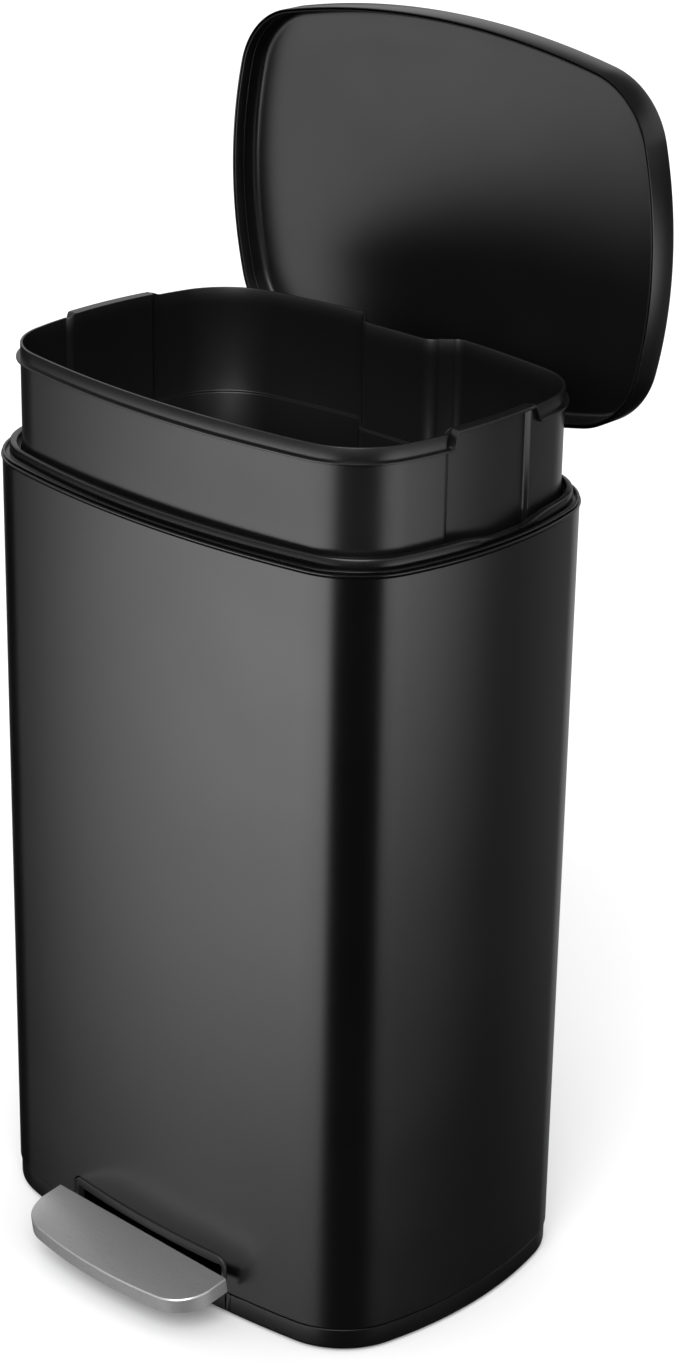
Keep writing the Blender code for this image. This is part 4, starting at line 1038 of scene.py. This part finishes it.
def grip(x, y):
    """How much of the finger grip there is at a place on the side."""
    return window(y, GRIP_FRONT, GRIP_REAR, *GRIP_RAMPS) if abs(x) > GRIP_SIDE else 0.0


def bucket_ring(inset, z_away, z_grip=None, level=False):
    """A ring at z_away on plain walls and at z_grip at the grips; a level one skips the wall's step."""
    ring = []
    for (x, y), moved in zip(bucket_plan, moved_in(bucket_plan, inset)):
        z = z_away if z_grip is None else z_away + (z_grip - z_away) * grip(x, y)
        out = panel_step(x, y) if level else 0.0
        ring.append((moved.x + math.copysign(out, x), moved.y + CAN_Y, z))
    return ring


print("grip length:", round(1000 * (GRIP_REAR - GRIP_FRONT)), "mm")

# %% [markdown]
# The rings run in three lists: up the outside from the floor, over the flange and the rim, and down the inside.
# A low step 80 mm below the rim makes the upper part a little wider than the rest, and pairs of close rings on
# both sides of it keep the walls' shading flat.

# %% Bucket
RIM_Z, BUCKET_HEIGHT, BUCKET_WALL = 0.6695, 0.5460, 0.0020
FLANGE_DROP, FLANGE_WIDTH, FLANGE_THICK = 0.0113, 0.0030, 0.0016
LIP_RISE = 0.0024
floor_z, flange_z = RIM_Z - BUCKET_HEIGHT, RIM_Z - FLANGE_DROP
lip_low, lip_high = RIM_Z + 0.0002, RIM_Z + LIP_RISE
edge = 0.0004
bucket_rings = [
    bucket_ring(0.0140, floor_z), bucket_ring(0.0110, floor_z + 0.0004), bucket_ring(0.0085, floor_z + 0.0018),
    bucket_ring(0.0075, floor_z + 0.0050), bucket_ring(0.0020, RIM_Z - 0.0862), bucket_ring(0.0016, RIM_Z - 0.0850),
    bucket_ring(0.0004, RIM_Z - 0.0812), bucket_ring(0.0, RIM_Z - 0.0800), bucket_ring(0.0, RIM_Z - 0.0793),
    bucket_ring(0.0, RIM_Z - 0.0740), bucket_ring(0.0, RIM_Z - 0.0400), bucket_ring(0.0, flange_z - 0.0010),
]
bucket_rings += [
    bucket_ring(0.0, flange_z, lip_low), bucket_ring(edge - FLANGE_WIDTH, flange_z, lip_low, True),
    bucket_ring(-FLANGE_WIDTH, flange_z + edge, lip_low + edge, True),
    bucket_ring(-FLANGE_WIDTH, flange_z + FLANGE_THICK - edge, lip_high - edge, True),
    bucket_ring(edge - FLANGE_WIDTH, flange_z + FLANGE_THICK, lip_high, True),
    bucket_ring(0.0, flange_z + FLANGE_THICK, lip_high), bucket_ring(0.0, RIM_Z - 0.0005, lip_high + 0.00001),
    bucket_ring(0.0002, RIM_Z - 0.0001, lip_high + 0.00002), bucket_ring(0.0005, RIM_Z, lip_high + 0.00003),
    bucket_ring(BUCKET_WALL - 0.0005, RIM_Z, lip_high),
    bucket_ring(BUCKET_WALL - 0.0002, RIM_Z - 0.0001, lip_high - 0.0001),
    bucket_ring(BUCKET_WALL, RIM_Z - 0.0005, lip_high - 0.0005),
    bucket_ring(BUCKET_WALL, RIM_Z - 0.0120, RIM_Z - 0.0080),
]
bucket_rings += [
    bucket_ring(BUCKET_WALL, RIM_Z - 0.0200), bucket_ring(BUCKET_WALL, RIM_Z - 0.0788),
    bucket_ring(BUCKET_WALL + 0.0003, RIM_Z - 0.0794),
    bucket_ring(BUCKET_WALL + 0.0018, RIM_Z - 0.0802), bucket_ring(BUCKET_WALL + 0.0021, RIM_Z - 0.0808),
    bucket_ring(BUCKET_WALL + 0.0075, floor_z + 0.0080), bucket_ring(BUCKET_WALL + 0.0085, floor_z + 0.0040),
    bucket_ring(BUCKET_WALL + 0.0120, floor_z + 0.0022),
]
bucket = loft("bucket", bucket_rings, closed=False)
hand_over(bucket, "bucket_plastic", "bucket", "inner_bucket")

# %% [markdown]
# ## The lid
# The lid is a pressed steel pan with a rounded edge and a low crown, and a moulded liner clipped inside it.
# Both are drawn lying flat about the hinge line, then turned open together about the hinge pin. The skin's
# rings run from the middle of its top to its rounded edge, round the folded hem and back along the inside.

# %% Lid skin
LID_EDGE, LID_SKIRT, LID_CROWN, LID_WALL = 0.5920, 0.0237, 0.0062, 0.0009
lid_top = LID_EDGE + LID_SKIRT
lid_place = Matrix.Translation(HINGE) @ Matrix.Rotation(-LID_OPEN, 4, "X")


def lid_ring(inset, z, narrow=1.0):
    """One ring of the closed lid about the hinge line, shrunk towards the middle for the crown."""
    return [(x * narrow, y * narrow + CAN_Y - HINGE.y, z - HINGE.z) for x, y in outline(LID_PLAN, inset)]


def crown(narrow):
    """Height of the outside of the lid at a share of its size: a shallow dome."""
    return lid_top + LID_CROWN * (1 - narrow ** 2)


def edge_arc(radius, steps, inset, z):
    """Rings round the pressed edge, from the top to the side."""
    angles = [math.pi / 2 * i / steps for i in range(1, steps + 1)]
    return [lid_ring(inset + radius * (1 - math.sin(a)), z - radius * (1 - math.cos(a))) for a in angles]


top_shares = (0.03, 0.12, 0.24, 0.36, 0.48, 0.60, 0.72, 0.82, 0.90, 0.95)
skin_rings = [lid_ring(0.0, crown(share), share) for share in top_shares]
skin_rings += [lid_ring(0.0040, lid_top + 0.0002)] + edge_arc(0.0038, 8, 0.0, lid_top)
skin_rings += [
    lid_ring(0.0, LID_EDGE + 0.0005), lid_ring(0.0002, LID_EDGE + 0.0001), lid_ring(0.0006, LID_EDGE),
    lid_ring(0.0010, LID_EDGE + 0.0002), lid_ring(0.0012, LID_EDGE + 0.0006), lid_ring(0.0012, LID_EDGE + 0.0028),
    lid_ring(0.0008, LID_EDGE + 0.0034), lid_ring(0.0008, lid_top - 0.0044), lid_ring(0.0018, lid_top - 0.0020),
    lid_ring(0.0046, lid_top - 0.0009),
]
skin_rings += [lid_ring(0.0, crown(share) - LID_WALL, share * 0.99) for share in (0.90, 0.72, 0.48, 0.24, 0.03)]
lid_skin = loft("lid_skin", skin_rings, closed=False)
cut(lid_skin, block((-NOTCH_HALF, NOTCH_HALF), (-0.0300, 0.0100), (-0.01, 0.0125)))
lid_skin.data.transform(lid_place)
hand_over(lid_skin, "satin_black_steel", "lid", "lid_outer")

# %% [markdown]
# The liner's wall is thinner at its open edge, where it slips in behind the steel's folded hem. A fine step
# part-way in shows where two mould halves met, and the wall turns in a soft corner to a panel that is dished
# under the lid's crown.

# %% Lid liner
panel = LID_EDGE + 0.0208
liner_side = 0.0008 + GAP
LINER_EDGE, SEAM_AT = 0.0021, LID_EDGE + 0.0085
DISH = 0.0045                        # how far the panel is dished
liner_in = liner_side + LINER_EDGE   # the inner face of the wall at its open edge


def dish(share, base):
    """A ring of the liner's panel at a share of its size."""
    return lid_ring(0.0, base + DISH * (1 - share ** 2), share)


liner_rings = [dish(share, panel + 0.0018) for share in (0.04, 0.2, 0.4, 0.6, 0.75, 0.88)]
liner_rings += [
    lid_ring(0.0100, panel + 0.0018), lid_ring(liner_side + 0.0034, panel + 0.0014),
    lid_ring(liner_side, panel - 0.0020), lid_ring(liner_side, LID_EDGE + 0.0050),
    lid_ring(liner_side + 0.0009, LID_EDGE + 0.0044), lid_ring(liner_side + 0.0009, LID_EDGE + GAP + 0.0005),
    lid_ring(liner_side + 0.0011, LID_EDGE + GAP + 0.0001), lid_ring(liner_side + 0.0015, LID_EDGE + GAP),
    lid_ring(liner_in - 0.0002, LID_EDGE + GAP + 0.0002), lid_ring(liner_in, LID_EDGE + GAP + 0.0006),
    lid_ring(liner_in + 0.0001, SEAM_AT - 0.0002), lid_ring(liner_in + 0.0004, SEAM_AT),
    lid_ring(liner_in + 0.0004, panel - 0.0040), lid_ring(liner_in + 0.0009, panel - 0.0022),
    lid_ring(liner_in + 0.0020, panel - 0.0008), lid_ring(liner_in + 0.0038, panel - 0.0001),
    lid_ring(liner_in + 0.0060, panel + 0.0001),
]
liner_rings += [dish(share, panel + 0.0002) for share in (0.88, 0.8, 0.7, 0.6, 0.5, 0.4, 0.3, 0.2, 0.04)]
lid_liner = loft("lid_inner_liner", liner_rings, closed=False)
cut(lid_liner, block((-NOTCH_HALF, NOTCH_HALF), (-0.0260, 0.0100), (-0.01, 0.0125)))
lid_liner.data.transform(lid_place)
hand_over(lid_liner, "black_plastic", "lid", "lid_liner", finish="liner_plastic")

# %% [markdown]
# ## Screws and feet
# The same small part sits in many places: fourteen pan-head screws and four rubber feet. One Geometry Nodes
# tree sets a part out on points, turns it to its direction, and spins each copy by a random angle, because no
# two screws stop at the same turn.

# %% Set parts out on points with Geometry Nodes


def set_out_tree(material):
    """Instances of an object on this object's vertices, each spun at random about its own axis."""
    tree = bpy.data.node_groups.new("set_out_" + material.name, "GeometryNodeTree")
    sockets = {"Points": "Geometry", "Part": "Object", "Direction": "Vector", "Spin": "Float", "Seed": "Int"}
    for label, kind in sockets.items():
        tree.interface.new_socket(label, in_out="INPUT", socket_type="NodeSocket" + kind)
    tree.interface.new_socket("Parts", in_out="OUTPUT", socket_type="NodeSocketGeometry")
    add, join = tree.nodes.new, tree.links.new
    given, made, info = add("NodeGroupInput"), add("NodeGroupOutput"), add("GeometryNodeObjectInfo")
    place, turn = add("GeometryNodeInstanceOnPoints"), add("FunctionNodeAlignRotationToVector")
    spin = add("GeometryNodeRotateInstances")
    chance, angles = add("FunctionNodeRandomValue"), add("ShaderNodeCombineXYZ")
    real, paint = add("GeometryNodeRealizeInstances"), add("GeometryNodeSetMaterial")
    turn.axis = "Z"
    chance.data_type = "FLOAT"
    paint.inputs["Material"].default_value = material
    random_low, random_high = [item for item in chance.inputs if item.type == "VALUE"][:2]
    random_low.default_value = 0.0
    join(given.outputs["Spin"], random_high)
    join(given.outputs["Seed"], chance.inputs["Seed"])
    join(next(item for item in chance.outputs if item.type == "VALUE"), angles.inputs["Z"])
    join(given.outputs["Direction"], turn.inputs["Vector"])
    join(given.outputs["Part"], info.inputs["Object"])
    join(given.outputs["Points"], place.inputs["Points"])
    join(info.outputs["Geometry"], place.inputs["Instance"])
    join(turn.outputs["Rotation"], place.inputs["Rotation"])
    join(place.outputs["Instances"], spin.inputs["Instances"])
    join(angles.outputs["Vector"], spin.inputs["Rotation"])
    join(spin.outputs["Instances"], real.inputs["Geometry"])
    join(real.outputs["Geometry"], paint.inputs["Geometry"])
    join(paint.outputs["Geometry"], made.inputs["Parts"])
    return tree


print("one tree sets out screws and feet")

# %% [markdown]
# The part itself is turned from a profile. The tree's inputs are set by their identifiers before it is first
# evaluated, and the seed is fixed, so every run gives the same turns.

# %% Turned parts


def turned_part(name, profile, sides=32):
    """A small round part from (radius, height) pairs, lowest first."""
    rings = []
    for radius, z in profile:
        rings.append([(x, y, z) for x, y in arc_points((0.0, 0.0), radius, 0.0, 2 * math.pi, sides)])
    return loft(name, rings, closed=False)


def set_out(name, part, points, direction, slot, seed, spin=2 * math.pi):
    """Place copies of a part on points and keep them as one plain mesh."""
    mesh = bpy.data.meshes.new(name)
    mesh.from_pydata(points, [], [])
    thing = bpy.data.objects.new(name, mesh)
    bpy.context.scene.collection.objects.link(thing)
    tree = set_out_tree(FINISH[slot])
    step = thing.modifiers.new("set out", "NODES")
    step.node_group = tree
    values = {"Part": part, "Direction": direction, "Spin": spin, "Seed": seed}
    for item in tree.interface.items_tree:
        if item.name in values:
            step[item.identifier] = values[item.name]
    plain_mesh(thing)
    bpy.data.objects.remove(part)
    thing.data.shade_smooth()
    thing.data.set_sharp_from_angle(angle=math.radians(CRISP))
    print(name, len(points), "copies")
    return thing


# %% [markdown]
# A screw is turned from its profile: shank, flat seat and domed head. A cross is then sunk in the head.

# %% Screws


def pan_head_screw(length, head_radius=0.0035):
    """A screw with its seat at the origin and its shank along +Z."""
    screw = turned_part("screw", [
        (head_radius - 0.0011, -0.0022), (head_radius - 0.0005, -0.0020), (head_radius - 0.0001, -0.0014),
        (head_radius, -0.0009), (head_radius, -0.0002), (head_radius - 0.0002, 0.0), (0.0015, 0.0),
        (0.0015, length - 0.0006), (0.0009, length),
    ])
    arm, half, sunk = head_radius - 0.0012, 0.0004, (-0.003, -0.0010)
    return cut(screw, block((-arm, arm), (-half, half), sunk), block((-half, half), (-arm, arm), sunk))


def grid(xs, ys, z):
    """Places in rows and columns at one height."""
    return [(x, y, z) for x in xs for y in ys]


UP, DOWN, FORWARD = (0, 0, 1), (0, 0, -1), (0, -1, 0)
pivot_screws = set_out(
    "pivot_screws", pan_head_screw(0.0046), grid((-0.064, 0.064), (CAN_Y - 0.089, CAN_Y - 0.071), 0.0104),
    DOWN, "zinc_steel", 3)
hand_over(pivot_screws, "zinc_steel", "can", *[
    f"pivot_screw_{side}_{end}" for side in ("left", "right") for end in ("front", "rear")])
housing_places = [(x, CAN_Y + 0.1533, z) for x in (-0.034, 0.034) for z in (0.545, 0.564)]
housing_screws = set_out("housing_screws", pan_head_screw(0.0130), housing_places, FORWARD, "zinc_steel", 5)
hand_over(housing_screws, "zinc_steel", "can", *[
    f"housing_screw_{side}_{level}" for side in ("left", "right") for level in ("lower", "upper")])
bracket_screws = set_out(
    "bracket_screws", pan_head_screw(0.0045), grid((-0.012, 0.012), (-0.0315, -0.0225), 0.0130),
    UP, "zinc_steel", 7)
bracket_screws.data.transform(lid_place)
hand_over(bracket_screws, "zinc_steel", "lid", *[
    f"bracket_screw_{side}_{row}" for side in ("left", "right") for row in ("front", "rear")])
pedal_screws = set_out(
    "pedal_screws", pan_head_screw(0.0052, 0.0032), grid((-0.040, 0.040), (-0.083,), 0.0002),
    UP, "zinc_steel", 9)
pedal_screws.data.transform(Matrix.Translation(PIVOT) @ Matrix.Rotation(PEDAL_PRESSED, 4, "X"))
hand_over(pedal_screws, "zinc_steel", "pedal", "pedal_screw_left", "pedal_screw_right")

# %% [markdown]
# Each foot is a rubber disc with two grooves in its sole for grip and a nub that is pressed up into the pan.

# %% Rubber feet
foot = turned_part("foot", [
    (0.0030, 0.0006), (0.0034, 0.0), (0.0055, 0.0), (0.0058, 0.0006), (0.0064, 0.0006), (0.0067, 0.0), (0.0094, 0.0),
    (0.0102, 0.0003), (0.0110, 0.0012), (0.0110, 0.0042), (0.0108, 0.0045), (0.0030, 0.0045), (0.0030, 0.0068),
    (0.0026, 0.0072),
])
feet = set_out(
    "feet", foot, grid((-0.145, 0.145), (CAN_Y - 0.085, CAN_Y + 0.085), 0.0), UP, "black_rubber", 11)
hand_over(feet, "black_rubber", "can", *[
    f"foot_{end}_{side}" for end in ("front", "rear") for side in ("left", "right")])
